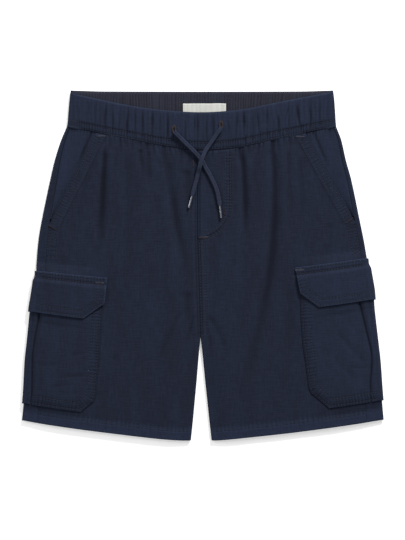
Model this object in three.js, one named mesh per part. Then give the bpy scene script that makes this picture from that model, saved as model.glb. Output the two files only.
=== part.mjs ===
// Child's cargo shorts, laid flat on their back. Millimetres, +Z up: X runs across the waist, +Y towards the
// waistband, and Z = 0 is the surface that they lie on. Left and right are those of the picture.
import * as THREE from "three";

// Cloth and seams.
const CLOTH = 1.3; // wall of one layer of cloth
const SEAM_GAP = 0.3; // between two pieces that are sewn edge to edge
const LAY_GAP = 0.4; // between a pocket or flap and what it lies on
const LAYER = CLOTH + LAY_GAP; // what a pocket or a flap adds to the stack
const EDGE_RADIUS = 2.2; // outside of the fold along a leg's edge
const MOST_GAP = 3.6; // widest space between the front and the back, laid on each other
const LOFT = 1.5; // how far the front stands above its own edges

// Waistband, with its elastic inside.
const BAND_CLOTH = 2.2; // wall of the casing and elastic together
const BAND_RADIUS = 2.7; // outside of the fold at the band's ends
const BAND_LIFT = 1.2; // how far the front band's inside rises from its ends to its middle
const BAND_PUCKERS = 84; // small gathers along the front band
const BAND_RIBS = 86; // small gathers along the back band
const PUCKER_DEEP = 0.42;
const RIB_DEEP = 0.5;
const GATHER_SHARE = 0.7; // how much of the main gathers' depths the band's outside takes
const CHANNEL_CROWN = 0.9; // how far the elastic's channel swells above the stitched strip
const WAIST_SIDE_Y = 145.6; // where the waist seam meets the side seams

// Cargo pockets and flaps.
const POCKET_BACK = 46; // how far the pocket and flap go under the leg from its edge
const BED_RAMP = 12; // the back rises over them in this length
const FRONT_RAMP = { from: 34, to: 80 }; // and the front more gently, measured from the leg's edge
const POCKET_LOFT = 1.2; // swell of the pocket's bag
const PLEAT_DEEP = 0.33; // depth of the pleat down the pocket, below its own cloth
const PLEAT_HALF = 1.2; // half the pleat's width
const FLAP_LIFT = 0.6; // extra space that the pocket's swell needs under the flap
const FLAP_HINGE = 0.55; // height of the stitched strip along the flap's top

// The cloth that shows in a slanted pocket's mouth.
const HIP_CLOTH = 1.2;
const HIP_UNDERLAP = 7; // how far it runs on under the front's edge

// Places where the cloth is doubled: the hem, the strip along a slanted pocket's mouth, and the mock fly.
const HEM_DEPTH = 11;
const HEM_LIFT = 0.45;
const STRIP_WIDE = 10.8;
const STRIP_LIFT = 0.5;
const STRIP_EDGE = 1.6; // width of the step down from it
const FLY_LIFT = 0.5;

const COTTON = { color: 0x262a3c, roughness: 0.92, metalness: 0 };
const COTTON_INSIDE = { color: 0x2f303e, roughness: 0.92, metalness: 0 };
const CORD = { color: 0x2b3246, roughness: 0.85, metalness: 0 };
const THREAD = { color: 0x33242a, roughness: 0.8, metalness: 0 };
const STEEL = { color: 0xd4d6d8, roughness: 0.25, metalness: 1 };
const LABEL = { color: 0xced0ca, roughness: 0.9, metalness: 0 };

// Waist: the front's seam and the front band's top edge. The back band is straight.
const WAIST = [
  { x: -143, seam: 145.6, top: 182.0 },
  { x: -105, seam: 138.0, top: 173.6 },
  { x: -72, seam: 131.6, top: 167.2 },
  { x: -40, seam: 125.2, top: 163.0 },
  { x: 0, seam: 120.8, top: 160.9 },
  { x: 40, seam: 124.2, top: 163.8 },
  { x: 72, seam: 131.6, top: 170.0 },
  { x: 105, seam: 138.4, top: 176.6 },
  { x: 140.3, seam: 145.6, top: 183.0 },
];
const BACK_TOP = [
  { x: -139, y: 183.9 },
  { x: -100, y: 182.9 },
  { x: 100, y: 182.9 },
  { x: 137, y: 183.9 },
];
const BAND_ENDS = [
  { y: 145.6, left: -143.0, right: 140.3 },
  { y: 150, left: -142.2, right: 139.8 },
  { y: 160, left: -141.4, right: 139.2 },
  { y: 174, left: -140.2, right: 138.2 },
  { y: 184, left: -138.9, right: 136.9 },
];

// Each leg: the fold along its side, the centre seam and inseam, the hem, and how far the side seam lies
// inside the fold, from the waist down.
const LEGS = {
  left: {
    sign: -1,
    side: [
      { y: 145.6, x: -143.0 },
      { y: 131.6, x: -149.0 },
      { y: 110.6, x: -155.6 },
      { y: 89.6, x: -160.5 },
      { y: 47.6, x: -169.3 },
      { y: 26.6, x: -172.8 },
      { y: 1.4, x: -175.0 },
      { y: -8, x: -174.9 },
      { y: -15, x: -175.4 },
      { y: -26, x: -176.8 },
      { y: -45, x: -179.9 },
      { y: -78.4, x: -183.3 },
      { y: -99.4, x: -185.6 },
      { y: -131, x: -187.3 },
      { y: -145, x: -188.4 },
      { y: -163, x: -190.2 },
    ],
    inner: [
      { y: 146, x: -5.6 },
      { y: 26, x: -5.6 },
      { y: -75.8, x: -2.4 },
      { y: -88.9, x: -3.8 },
      { y: -120.4, x: -6.4 },
      { y: -162.4, x: -10.3 },
      { y: -184, x: -12.6 },
    ],
    hem: [
      { x: -190.2, y: -162.4 },
      { x: -171, y: -166.0 },
      { x: -129, y: -172.2 },
      { x: -87, y: -177.5 },
      { x: -45, y: -182.3 },
      { x: -24, y: -183.8 },
      { x: -12, y: -183.9 },
    ],
    seamInset: [
      { y: 145.6, x: 3.0 },
      { y: 125, x: 4.4 },
      { y: 90, x: 6.8 },
      { y: 43.4, x: 8.8 },
      { y: -45, x: 11.0 },
      { y: -163, x: 16.5 },
    ],
    rowsEven: 0.75,
    mouth: { top: { x: -112.2, y: 139.4 }, end: { x: -161.2, y: 43.4 } },
    pocket: { top: -24, bottom: 0.9403, inner: [
      { y: 0, x: -103.0 },
      { y: -41.6, x: -105.4 },
      { y: -78.3, x: -108.0 },
      { y: -109.8, x: -110.2 },
      { y: -136.1, x: -112.8 },
      { y: -142.4, x: -114.4 },
      { y: -154.5, x: -129.0 },
    ] },
    pleat: [
      { y: 0, x: 13.0 },
      { y: -55, x: 9.0 },
      { y: -81, x: 6.4 },
      { y: -131, x: 7.6 },
      { y: -155, x: 8.0 },
    ],
    flap: { top: 0.484, bottom: 0.6225, inner: [
      { y: -13.2, x: -100.6 },
      { y: -40.0, x: -103.3 },
      { y: -55.2, x: -124.8 },
    ] },
  },
  right: {
    sign: 1,
    side: [
      { y: 145.6, x: 140.3 },
      { y: 131.6, x: 145.6 },
      { y: 110.6, x: 150.4 },
      { y: 89.6, x: 156.2 },
      { y: 47.6, x: 164.9 },
      { y: 26.6, x: 169.2 },
      { y: 8.3, x: 172.2 },
      { y: 1.4, x: 172.9 },
      { y: -6.9, x: 174.2 },
      { y: -26, x: 177.4 },
      { y: -45, x: 178.9 },
      { y: -57, x: 180.2 },
      { y: -78.4, x: 182.7 },
      { y: -99.4, x: 185.1 },
      { y: -131, x: 187.4 },
      { y: -145, x: 188.6 },
      { y: -163, x: 190.2 },
    ],
    inner: [
      { y: 146, x: -5.6 },
      { y: 26, x: -5.6 },
      { y: -75.8, x: -2.4 },
      { y: -88.9, x: -0.8 },
      { y: -120.4, x: 2.3 },
      { y: -162.4, x: 6.7 },
      { y: -184, x: 9.2 },
    ],
    hem: [
      { x: 8, y: -183.9 },
      { x: 20, y: -183.5 },
      { x: 49.5, y: -180.6 },
      { x: 91.5, y: -176.0 },
      { x: 133.5, y: -170.6 },
      { x: 165, y: -166.0 },
      { x: 190.2, y: -161.8 },
    ],
    seamInset: [
      { y: 145.6, x: 3.0 },
      { y: 90, x: 4.4 },
      { y: 46.5, x: 5.4 },
      { y: 10, x: 5.6 },
      { y: -45, x: 9.5 },
      { y: -163, x: 19.0 },
    ],
    rowsEven: 0.5,
    mouth: { top: { x: 106.2, y: 141.4 }, end: { x: 159.2, y: 46.5 } },
    pocket: { top: -12, bottom: 0.932, inner: [
      { y: 0, x: 102.0 },
      { y: -57, x: 103.2 },
      { y: -83.6, x: 105.2 },
      { y: -104.6, x: 108.3 },
      { y: -128.7, x: 111.5 },
      { y: -134, x: 113.6 },
      { y: -149.7, x: 132.5 },
    ] },
    pleat: [
      { y: 0, x: 17.0 },
      { y: -40.6, x: 13.6 },
      { y: -69.5, x: 10.0 },
      { y: -94.7, x: 7.6 },
      { y: -126.2, x: 11.2 },
      { y: -150, x: 11.6 },
    ],
    flap: { top: 0.439, bottom: 0.582, inner: [
      { y: -1.7, x: 96.8 },
      { y: -25.8, x: 101.5 },
      { y: -29.5, x: 102.6 },
      { y: -44.2, x: 122.5 },
    ] },
  },
};

// Outline of the mock fly on the right front, from the waist round to the centre seam.
const FLY = [
  { y: 120, x: 26.4 },
  { y: 62, x: 26.2 },
  { y: 52, x: 24.8 },
  { y: 43, x: 19.6 },
  { y: 36.5, x: 12.8 },
  { y: 32, x: 4.5 },
  { y: 28, x: -6.5 },
];

// Soft folds that fall from the waist: troughs from one end to the other, bowed sideways at the middle.
const FOLDS = [
  { x0: -102.7, y0: 121, x1: -108.2, y1: 8, bow: 0, wide0: 3.2, wide1: 6.5, deep: 1.9 },
  { x0: -78.6, y0: 112, x1: -75.9, y1: -30, bow: 0, wide0: 6, wide1: 10, deep: 0.9 },
  { x0: -65.6, y0: 122, x1: -61.8, y1: 90, bow: 0, wide0: 2.8, wide1: 4, deep: 1.1 },
  { x0: -57.0, y0: 119, x1: -56.0, y1: 78, bow: 0, wide0: 3, wide1: 5, deep: 0.9 },
  { x0: -40.8, y0: 118, x1: -9.5, y1: -40, bow: -2, wide0: 4, wide1: 8, deep: 1.6 },
  { x0: -16.6, y0: 100, x1: -13.5, y1: 46, bow: 0, wide0: 5, wide1: 5, deep: 1.2 },
  { x0: -16.6, y0: -28, x1: -12.0, y1: -80, bow: 0, wide0: 6, wide1: 6, deep: 1.0 },
  { x0: 41.4, y0: 118, x1: 45.3, y1: 18, bow: 1, wide0: 3.2, wide1: 5.5, deep: 1.7 },
  { x0: 73.7, y0: 128, x1: 33.0, y1: -150, bow: 15.7, wide0: 4, wide1: 9, deep: 2.0 },
  { x0: 102.0, y0: 112, x1: 107.3, y1: 24, bow: 0, wide0: 5, wide1: 7, deep: 0.7 },
  { x0: 133.1, y0: 44, x1: 135.6, y1: 10, bow: 0, wide0: 4, wide1: 4, deep: 0.6 },
];

// Main gathers of the front band: where each crosses the seam, and how far it leans by the top edge.
const GATHERS = [
  { x: -130, lean: 0, wide: 2.0, deep: 0.5 },
  { x: -121, lean: 2, wide: 2.0, deep: 0.6 },
  { x: -115, lean: 2, wide: 1.8, deep: 0.6 },
  { x: -103.5, lean: 2, wide: 2.0, deep: 0.9 },
  { x: -94.5, lean: 0, wide: 1.8, deep: 0.7 },
  { x: -88, lean: 1, wide: 1.6, deep: 0.6 },
  { x: -80.2, lean: 2, wide: 2.0, deep: 1.3 },
  { x: -72, lean: 1, wide: 1.8, deep: 0.7 },
  { x: -63, lean: -1, wide: 2.0, deep: 0.9 },
  { x: -53.6, lean: 1, wide: 2.0, deep: 1.2 },
  { x: -45, lean: 0, wide: 1.8, deep: 0.7 },
  { x: -37.3, lean: 1, wide: 1.8, deep: 1.0 },
  { x: -19, lean: 1, wide: 2.0, deep: 0.8 },
  { x: -8.6, lean: 0, wide: 1.2, deep: 1.0 },
  { x: -5.6, lean: 0, wide: 1.2, deep: 1.0 },
  { x: 3.5, lean: 0, wide: 1.8, deep: 0.6 },
  { x: 11.7, lean: -1, wide: 1.8, deep: 0.8 },
  { x: 27, lean: 0, wide: 1.6, deep: 0.6 },
  { x: 35, lean: 1, wide: 1.8, deep: 0.8 },
  { x: 44.6, lean: -2, wide: 2.0, deep: 1.4 },
  { x: 52.6, lean: 0, wide: 1.8, deep: 0.7 },
  { x: 61, lean: -5, wide: 1.8, deep: 0.9 },
  { x: 67.9, lean: 1, wide: 2.0, deep: 1.4 },
  { x: 74.2, lean: 0, wide: 1.6, deep: 0.7 },
  { x: 80, lean: -1, wide: 1.8, deep: 0.8 },
  { x: 89.5, lean: 0, wide: 1.8, deep: 0.6 },
  { x: 104.6, lean: -8, wide: 2.2, deep: 1.5 },
  { x: 113.6, lean: -1, wide: 1.8, deep: 0.7 },
  { x: 123.7, lean: -1, wide: 2.0, deep: 0.9 },
  { x: 131, lean: 0, wide: 1.8, deep: 0.5 },
];

// Drawstring: each free end from its eyelet to its tip, and how far it lifts to pass over the other.
const CORD_WIDE = 4.6;
const CORD_FLAT = 0.62; // thickness over width of the soft cord
const CORD_SIDES = 8;
const CORD_STEPS = 26;
const CORD_THICK = CORD_WIDE * CORD_FLAT;
const CROSSING = { x: -0.9, y: 109.5, reach: 15 };
const CORDS = {
  left: { crossesOver: false, route: [
    { x: -30.2, y: 140.4 },
    { x: -27.6, y: 137.6 },
    { x: -22.5, y: 132.6 },
    { x: -16.1, y: 126.2 },
    { x: -9.6, y: 120.0 },
    { x: -4.3, y: 114.3 },
    { x: -0.6, y: 109.3 },
    { x: 3.0, y: 102.5 },
    { x: 6.6, y: 96.4 },
    { x: 9.4, y: 90.7 },
    { x: 12.6, y: 84.3 },
    { x: 14.9, y: 77.9 },
    { x: 16.4, y: 71.5 },
    { x: 17.3, y: 66.2 },
    { x: 17.8, y: 62.2 },
  ] },
  right: { crossesOver: true, route: [
    { x: 19.2, y: 145.0 },
    { x: 17.6, y: 141.6 },
    { x: 14.6, y: 137.6 },
    { x: 11.2, y: 132.6 },
    { x: 7.2, y: 126.8 },
    { x: 3.0, y: 120.7 },
    { x: 0.5, y: 115.2 },
    { x: -1.5, y: 109.8 },
    { x: -3.4, y: 103.2 },
    { x: -5.2, y: 96.2 },
    { x: -7.3, y: 88.0 },
    { x: -9.7, y: 78.9 },
    { x: -11.5, y: 72.4 },
  ] },
};
const AGLET = { radius: 1.7, length: 13.4, sides: 14 };
const EYELET = { wide: 5.4, tall: 9.6, thick: 0.9, sides: 16, above: 2.4 };
const LABEL_BOX = { left: -20.9, right: 24.3, bottom: 157.0, top: 170.0, thick: 0.9 };

const CROTCH_Y = -75.8;
const HEM_CORNER = 190.2; // how far to each side the hem reaches
const LEG_LENGTH = 307; // from the waist seam to the hem, along a side
const ROW_RAMP = 0.03; // the bed's ramps along the leg, as a share of that
const DIP_END = 0.42; // the front's rows dip with the waist seam down to here

const { lerp, clamp, smoothstep } = THREE.MathUtils;
const HALF_TURN = Math.PI / 2;

// A smooth curve through a table's rows, as a function of the key column.
function follow(rows, key, value) {
  const sorted = [...rows].sort((a, b) => a[key] - b[key]);
  const at = sorted.map((row) => row[key]);
  const out = sorted.map((row) => row[value]);
  const last = at.length - 1;
  const slope = (i) => {
    const a = Math.max(0, i - 1);
    const b = Math.min(last, i + 1);
    return (out[b] - out[a]) / (at[b] - at[a]);
  };
  return (t) => {
    if (t <= at[0]) return out[0] + slope(0) * (t - at[0]);
    if (t >= at[last]) return out[last] + slope(last) * (t - at[last]);
    const i = at.findIndex((edge) => edge > t) - 1;
    const span = at[i + 1] - at[i];
    const s = (t - at[i]) / span;
    const bend = s * s * (3 - 2 * s);
    const leave = s * (1 - s) * (1 - s) * span * slope(i);
    const arrive = s * s * (s - 1) * span * slope(i + 1);
    return lerp(out[i], out[i + 1], bend) + leave + arrive;
  };
}

// The same, but with straight spans, for outlines with corners.
function straight(rows, key, value) {
  const sorted = [...rows].sort((a, b) => a[key] - b[key]);
  return (t) => {
    let i = sorted.findIndex((row) => row[key] > t) - 1;
    if (i < 0) i = t < sorted[0][key] ? 0 : sorted.length - 2;
    const [a, b] = [sorted[i], sorted[i + 1]];
    return lerp(a[value], b[value], (t - a[key]) / (b[key] - a[key]));
  };
}

const waistSeam = follow(WAIST, "x", "seam");
const seamLine = (x) => waistSeam(clamp(x, WAIST[0].x, WAIST.at(-1).x));
const frontTop = follow(WAIST, "x", "top");
const backTop = follow(BACK_TOP, "x", "y");
const flyLine = follow(FLY, "y", "x");
const bandEnd = { left: follow(BAND_ENDS, "y", "left"), right: follow(BAND_ENDS, "y", "right") };

// A leg's tables as functions. Inset is measured from the side fold towards the middle of the garment.
function makeLeg(name) {
  const table = LEGS[name];
  const leg = { name, ...table };
  leg.side = follow(table.side, "y", "x");
  leg.inner = straight(table.inner, "y", "x");
  leg.hem = follow(table.hem, "x", "y");
  leg.seamInset = follow(table.seamInset, "y", "x");
  leg.pleat = follow(table.pleat, "y", "x");
  leg.pocketInner = straight(table.pocket.inner, "y", "x");
  leg.flapInner = straight(table.flap.inner, "y", "x");
  leg.sideSeam = (y) => leg.side(y) - leg.sign * leg.seamInset(y);
  leg.mouthLine = (y) => {
    const { top, end } = leg.mouth;
    return lerp(end.x, top.x, (y - end.y) / (top.y - end.y));
  };
  // The front's outer edge: the pocket's mouth, then the side seam.
  leg.frontEdge = (y) => (y > leg.mouth.end.y ? leg.mouthLine(y) : leg.sideSeam(y));
  leg.inset = (x, y) => (leg.side(y) - x) * leg.sign;
  // Rows across the back, and the front's, which dip with the waist seam and are the same further down.
  leg.tilt = (x, v) => (leg.hem(x) - leg.hem(leg.sign * HEM_CORNER)) * smoothstep(v, 0, leg.rowsEven);
  leg.backY = (x, v) => lerp(WAIST_SIDE_Y - SEAM_GAP, leg.hem(leg.sign * HEM_CORNER), v) + leg.tilt(x, v);
  leg.frontY = (x, v) => leg.backY(x, v) - (WAIST_SIDE_Y - seamLine(x)) * (1 - smoothstep(v, 0, DIP_END));
  leg.rowOf = (x, y) => {
    const top = WAIST_SIDE_Y - SEAM_GAP;
    const length = top - leg.hem(leg.sign * HEM_CORNER);
    let v = (top - y) / length;
    for (let i = 0; i < 6; i++) v = (top - y + leg.tilt(x, v)) / length;
    return v;
  };
  return leg;
}
const legs = { left: makeLeg("left"), right: makeLeg("right") };

// 1 between from and to, with straight ramps of the given length outside them.
function between(t, from, to, ramp) {
  return clamp(Math.min((t - from) / ramp + 1, (to - t) / ramp + 1), 0, 1);
}

// How much of the pocket (0 to 1) and flap (0 to 1) lies under or over the leg at a row.
function rowsCovered(leg, v) {
  const pocket = between(v, leg.flap.top, leg.pocket.bottom, ROW_RAMP);
  const flap = between(v, leg.flap.top, leg.flap.bottom, ROW_RAMP);
  return pocket + flap;
}

// Height of the leg's underside: it lies over the back halves of its pocket and flap.
function bed(leg, inset, v) {
  return LAYER * rowsCovered(leg, v) * clamp((POCKET_BACK + BED_RAMP - inset) / BED_RAMP, 0, 1);
}

function softBed(leg, inset, v) {
  const t = clamp((inset - FRONT_RAMP.from) / (FRONT_RAMP.to - FRONT_RAMP.from), 0, 1);
  return LAYER * rowsCovered(leg, v) * (0.5 + 0.5 * Math.cos(Math.PI * t));
}

// The folds' depth at a point of the front.
function foldsAt(x, y) {
  let sum = 0;
  for (const f of FOLDS) {
    const s = (f.y0 - y) / (f.y0 - f.y1);
    if (s < -0.1 || s > 1.1) continue;
    const along = clamp(s, 0, 1);
    const middle = lerp(f.x0, f.x1, along) + f.bow * 4 * along * (1 - along);
    const t = (x - middle) / lerp(f.wide0, f.wide1, along);
    const fade = smoothstep(s, -0.06, 0.08) * (1 - smoothstep(s, 0.45, 1.05));
    sum += f.deep * fade * Math.exp(-t * t);
  }
  return sum;
}

// Height of the front's outside.
function front(leg, x, y) {
  const v = leg.rowOf(x, y);
  const inset = Math.max(0, leg.inset(x, y) - EDGE_RADIUS);
  const inseam = Math.max(0, (x - leg.inner(y)) * leg.sign - EDGE_RADIUS);
  const atSide = 1 - Math.exp(-((inset / 16) ** 2));
  const open = smoothstep(CROTCH_Y + 40 - y, 0, 48);
  const atInseam = 1 - open * Math.exp(-((inseam / 12) ** 2));
  const atHem = 1 - 0.35 * smoothstep(v, 0.75, 1);
  const rise = LOFT * atSide * atInseam * atHem;
  return softBed(leg, leg.inset(x, y), v) + 2 * EDGE_RADIUS + rise - foldsAt(x, y) * atSide * atInseam;
}

// Height of the front's inside, never further from the back than the widest gap.
function frontInside(leg, x, y) {
  const most = bed(leg, leg.inset(x, y), leg.rowOf(x, y)) + CLOTH + MOST_GAP;
  return Math.min(front(leg, x, y) - CLOTH, most);
}

// A point on the leg's outside, or off it by some way: on the front, round the side fold, or underneath.
// A station is where round the leg it lies, and v how far down it.
function skin(leg, station, v, off) {
  if (station.zone === "edge") {
    const [centre, along] = meet((y) => leg.side(y) - leg.sign * EDGE_RADIUS, v, leg.backY);
    const radius = EDGE_RADIUS + off;
    const height = bed(leg, EDGE_RADIUS, v) + EDGE_RADIUS;
    return new THREE.Vector3(
      centre + leg.sign * radius * Math.cos(station.angle), along, height + radius * Math.sin(station.angle));
  }
  const [x, y] = meet(station.at, v, leg.backY);
  if (station.zone === "front") return new THREE.Vector3(x, y, front(leg, x, y) + off);
  return new THREE.Vector3(x, y, bed(leg, leg.inset(x, y), v) - off);
}

// Where a line that runs down the leg crosses row v.
function meet(line, v, row) {
  let y = 0;
  let x = line(y);
  for (let i = 0; i < 6; i++) {
    y = row(x, v);
    x = line(y);
  }
  return [x, y];
}

const range = (from, to, steps) => Array.from({ length: steps + 1 }, (_, i) => lerp(from, to, i / steps));
const blendLines = (a, b, share) => (y) => lerp(a(y), b(y), share);

// A closed wall between an outer and an inner grid of points with the same outline. The grids may have
// different numbers of rows and columns: the rims zip them together.
function wall(name, look, outer, inner) {
  const points = [];
  const faces = [];
  const number = (grid) => grid.map((row) => row.map((p) => points.push(p) - 1));
  const quads = (grid, flip) => {
    for (let j = 0; j + 1 < grid.length; j++)
      for (let i = 0; i + 1 < grid[j].length; i++) {
        const [a, b] = [grid[j][i], grid[j][i + 1]];
        const [d, c] = [grid[j + 1][i], grid[j + 1][i + 1]];
        faces.push(...(flip ? [a, b, c, a, c, d] : [a, c, b, a, d, c]));
      }
  };
  const sides = (grid) => {
    const last = grid.at(-1);
    return [grid[0], grid.map((r) => r.at(-1)), [...last].reverse(), grid.map((r) => r[0]).reverse()];
  };
  const zip = (p, q) => {
    let [i, j] = [0, 0];
    while (i + 1 < p.length || j + 1 < q.length) {
      const stepP = i + 1 < p.length ? points[p[i + 1]].distanceTo(points[q[j]]) : Infinity;
      const stepQ = j + 1 < q.length ? points[p[i]].distanceTo(points[q[j + 1]]) : Infinity;
      if (stepP <= stepQ) faces.push(p[i], p[++i], q[j]);
      else faces.push(p[i], q[j + 1], q[j++]);
    }
  };
  const [out, ins] = [number(outer), number(inner)];
  quads(out, false);
  quads(ins, true);
  sides(out).forEach((side, k) => zip(side, sides(ins)[k]));
  if (volume(points, faces) < 0)
    for (let i = 0; i < faces.length; i += 3) [faces[i + 1], faces[i + 2]] = [faces[i + 2], faces[i + 1]];
  const geometry = new THREE.BufferGeometry().setFromPoints(points);
  geometry.setIndex(faces);
  geometry.computeVertexNormals();
  return meshOf(name, look, geometry);
}

function volume(points, faces) {
  let sum = 0;
  for (let i = 0; i < faces.length; i += 3) {
    const [a, b, c] = [points[faces[i]], points[faces[i + 1]], points[faces[i + 2]]];
    sum += a.dot(new THREE.Vector3().crossVectors(b, c));
  }
  return sum / 6;
}

function meshOf(name, look, geometry) {
  const mesh = new THREE.Mesh(geometry, new THREE.MeshStandardMaterial(look));
  mesh.name = name;
  return mesh;
}

// Points down a panel's inner edge: it curls down to meet the other layer along the inseam, and only
// rounds off a little along the centre seam. Up is 1 for the front and -1 for the back.
function innerCurl(leg, v, row, surface, up, thickness, steps) {
  const [x, y] = meet((at) => leg.inner(at) + leg.sign * SEAM_GAP / 2, v, row);
  const open = smoothstep(CROTCH_Y + 6 - y, 0, 20);
  const sweep = lerp(0.45, HALF_TURN - 0.08, open);
  const centre = x + leg.sign * EDGE_RADIUS * Math.sin(sweep);
  const middle = surface(centre, y) - up * EDGE_RADIUS;
  const radius = EDGE_RADIUS - thickness;
  return range(0, sweep, steps).map((a) => new THREE.Vector3(
    centre - leg.sign * radius * Math.sin(a), row(centre, v), middle + up * radius * Math.cos(a)));
}

const FRONT_COLUMNS = 32;
const PANEL_ROWS = [0, 0.03, 0.08, 0.14, 0.2, 0.26, 0.32, 0.38];
const LOWER_ROWS = [0.68, 0.74, 0.8, 0.86];

// Rows down a leg that fall on the ends of the bed's ramps, the hem's top and its edge.
function legRows(leg) {
  const { flap, pocket } = leg;
  return [
    ...PANEL_ROWS,
    flap.top - ROW_RAMP,
    flap.top,
    (flap.top + flap.bottom) / 2,
    flap.bottom,
    flap.bottom + ROW_RAMP,
    ...LOWER_ROWS,
    pocket.bottom,
    1 - (HEM_DEPTH + 2) / LEG_LENGTH,
    1 - HEM_DEPTH / LEG_LENGTH,
    1,
  ];
}

// How far doubled cloth stands above the front's single layer.
function doubled(leg, x, y) {
  const hem = smoothstep(leg.hem(x) + HEM_DEPTH + 2 - y, 0, 2);
  const fromMouth = Math.abs(x - leg.mouthLine(y));
  const strip = smoothstep(STRIP_WIDE + STRIP_EDGE - fromMouth, 0, STRIP_EDGE) *
    smoothstep(y - leg.mouth.end.y, -6, 0);
  const fly = leg.name === "right" ? smoothstep(flyLine(y) - x, -2, 1) : 0;
  return HEM_LIFT * hem + STRIP_LIFT * strip + FLY_LIFT * fly;
}

function frontPanel(leg) {
  const raised = (x, y) => front(leg, x, y) + doubled(leg, x, y);
  const single = (x, y) => front(leg, x, y);
  const grid = (columns, surface, edge, thickness, curlSteps) => legRows(leg).map((v) => {
    const curl = innerCurl(leg, v, leg.frontY, edge, 1, thickness, curlSteps);
    const end = curl[0].x;
    const [start] = meet((y) => leg.frontEdge(y) - leg.sign * SEAM_GAP / 2, v, leg.frontY);
    const [step, past] = [STRIP_WIDE, STRIP_WIDE + STRIP_EDGE].map((far) => start - leg.sign * far);
    const field = [start, step, ...range(past, end, columns).slice(0, -1)].map((x) => {
      const y = leg.frontY(x, v);
      return new THREE.Vector3(x, y, surface(x, y));
    });
    return [...field, ...curl];
  });
  const outer = grid(FRONT_COLUMNS, raised, raised, 0, 3);
  const inner = grid(7, (x, y) => frontInside(leg, x, y), single, CLOTH, 2);
  return wall(`front_${leg.name}`, COTTON, outer, inner);
}

// The back lies underneath, turns up round the side fold and ends at the side seam on the front.
function backPanel(leg) {
  const floor = (x, y) => bed(leg, leg.inset(x, y), leg.rowOf(x, y));
  const seam = (y) => leg.side(y) - leg.sign * (leg.seamInset(y) - SEAM_GAP / 2);
  const fold = (y) => leg.side(y) - leg.sign * EDGE_RADIUS;
  const under = (inset) => ({ zone: "under", at: (y) => leg.side(y) - leg.sign * inset });
  const edge = range(-HALF_TURN, HALF_TURN, 6).map((angle) => ({ zone: "edge", angle }));
  const wrap = [0.5, 1].map((s) => ({ zone: "front", at: blendLines(fold, seam, s) }));
  const nearEdge = [POCKET_BACK + BED_RAMP, POCKET_BACK, POCKET_BACK / 2].map(under);
  const grid = (columns, off, thickness, curlSteps) => legRows(leg).map((v) => {
    const curl = innerCurl(leg, v, leg.backY, floor, -1, thickness, curlSteps).reverse();
    const from = curl.at(-1).x;
    const [to] = meet(nearEdge[0].at, v, leg.backY);
    const field = range(from, to, columns).slice(1, -1).map((x) => {
      const y = leg.backY(x, v);
      return new THREE.Vector3(x, y, floor(x, y) - off);
    });
    const round = [...nearEdge, ...edge, ...wrap].map((station) => skin(leg, station, v, off));
    return [...curl, ...field, ...round];
  });
  return wall(`back_${leg.name}`, COTTON, grid(4, 0, 0, 3), grid(4, -CLOTH, CLOTH, 3));
}

// The cloth that shows in the slanted pocket's mouth. It runs on under the front's edge.
function hipPanel(leg) {
  const seam = (y) => leg.sideSeam(y) - leg.sign * SEAM_GAP;
  const far = (y) => leg.mouthLine(y) - leg.sign * HIP_UNDERLAP;
  const surface = (x, y) => {
    const width = Math.abs(leg.mouthLine(y) - seam(y)) - 1;
    const t = Math.abs(x - seam(y)) / Math.max(width, 2);
    return front(leg, x, y) - LAYER * smoothstep(t, 0, 1);
  };
  const row = (x, v) => lerp(seamLine(x) - SEAM_GAP, leg.mouth.end.y + 5, v);
  const grid = (columns, rows, off) => range(0, 1, rows).map((v) => {
    const [from] = meet(seam, v, row);
    const [to] = meet(far, v, row);
    return range(from, to, columns).map((x) => {
      const y = row(x, v);
      return new THREE.Vector3(x, y, surface(x, y) - off);
    });
  });
  return wall(`hip_${leg.name}`, COTTON, grid(9, 12, 0), grid(6, 8, HIP_CLOTH));
}

// Swell of the cargo pocket's bag above its own cloth: two lobes with the pleat between them.
function pocketSwell(leg, x, y, v) {
  const inset = leg.inset(x, y);
  const fromPleat = Math.abs(inset - leg.pleat(y));
  const fromInner = Math.abs(x - leg.pocketInner(y));
  const fromBottom = (leg.pocket.bottom - v) * LEG_LENGTH;
  const edges = smoothstep(fromInner, 0, 14) * smoothstep(fromBottom, 0, 16);
  const underFlap = 1 - 0.5 * smoothstep(leg.flap.bottom + 0.03 - v, 0, 0.05);
  const lobes = smoothstep(fromPleat, 0, 5) * smoothstep(inset, EDGE_RADIUS, EDGE_RADIUS + 4);
  return POCKET_LOFT * edges * lobes * underFlap;
}

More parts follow.
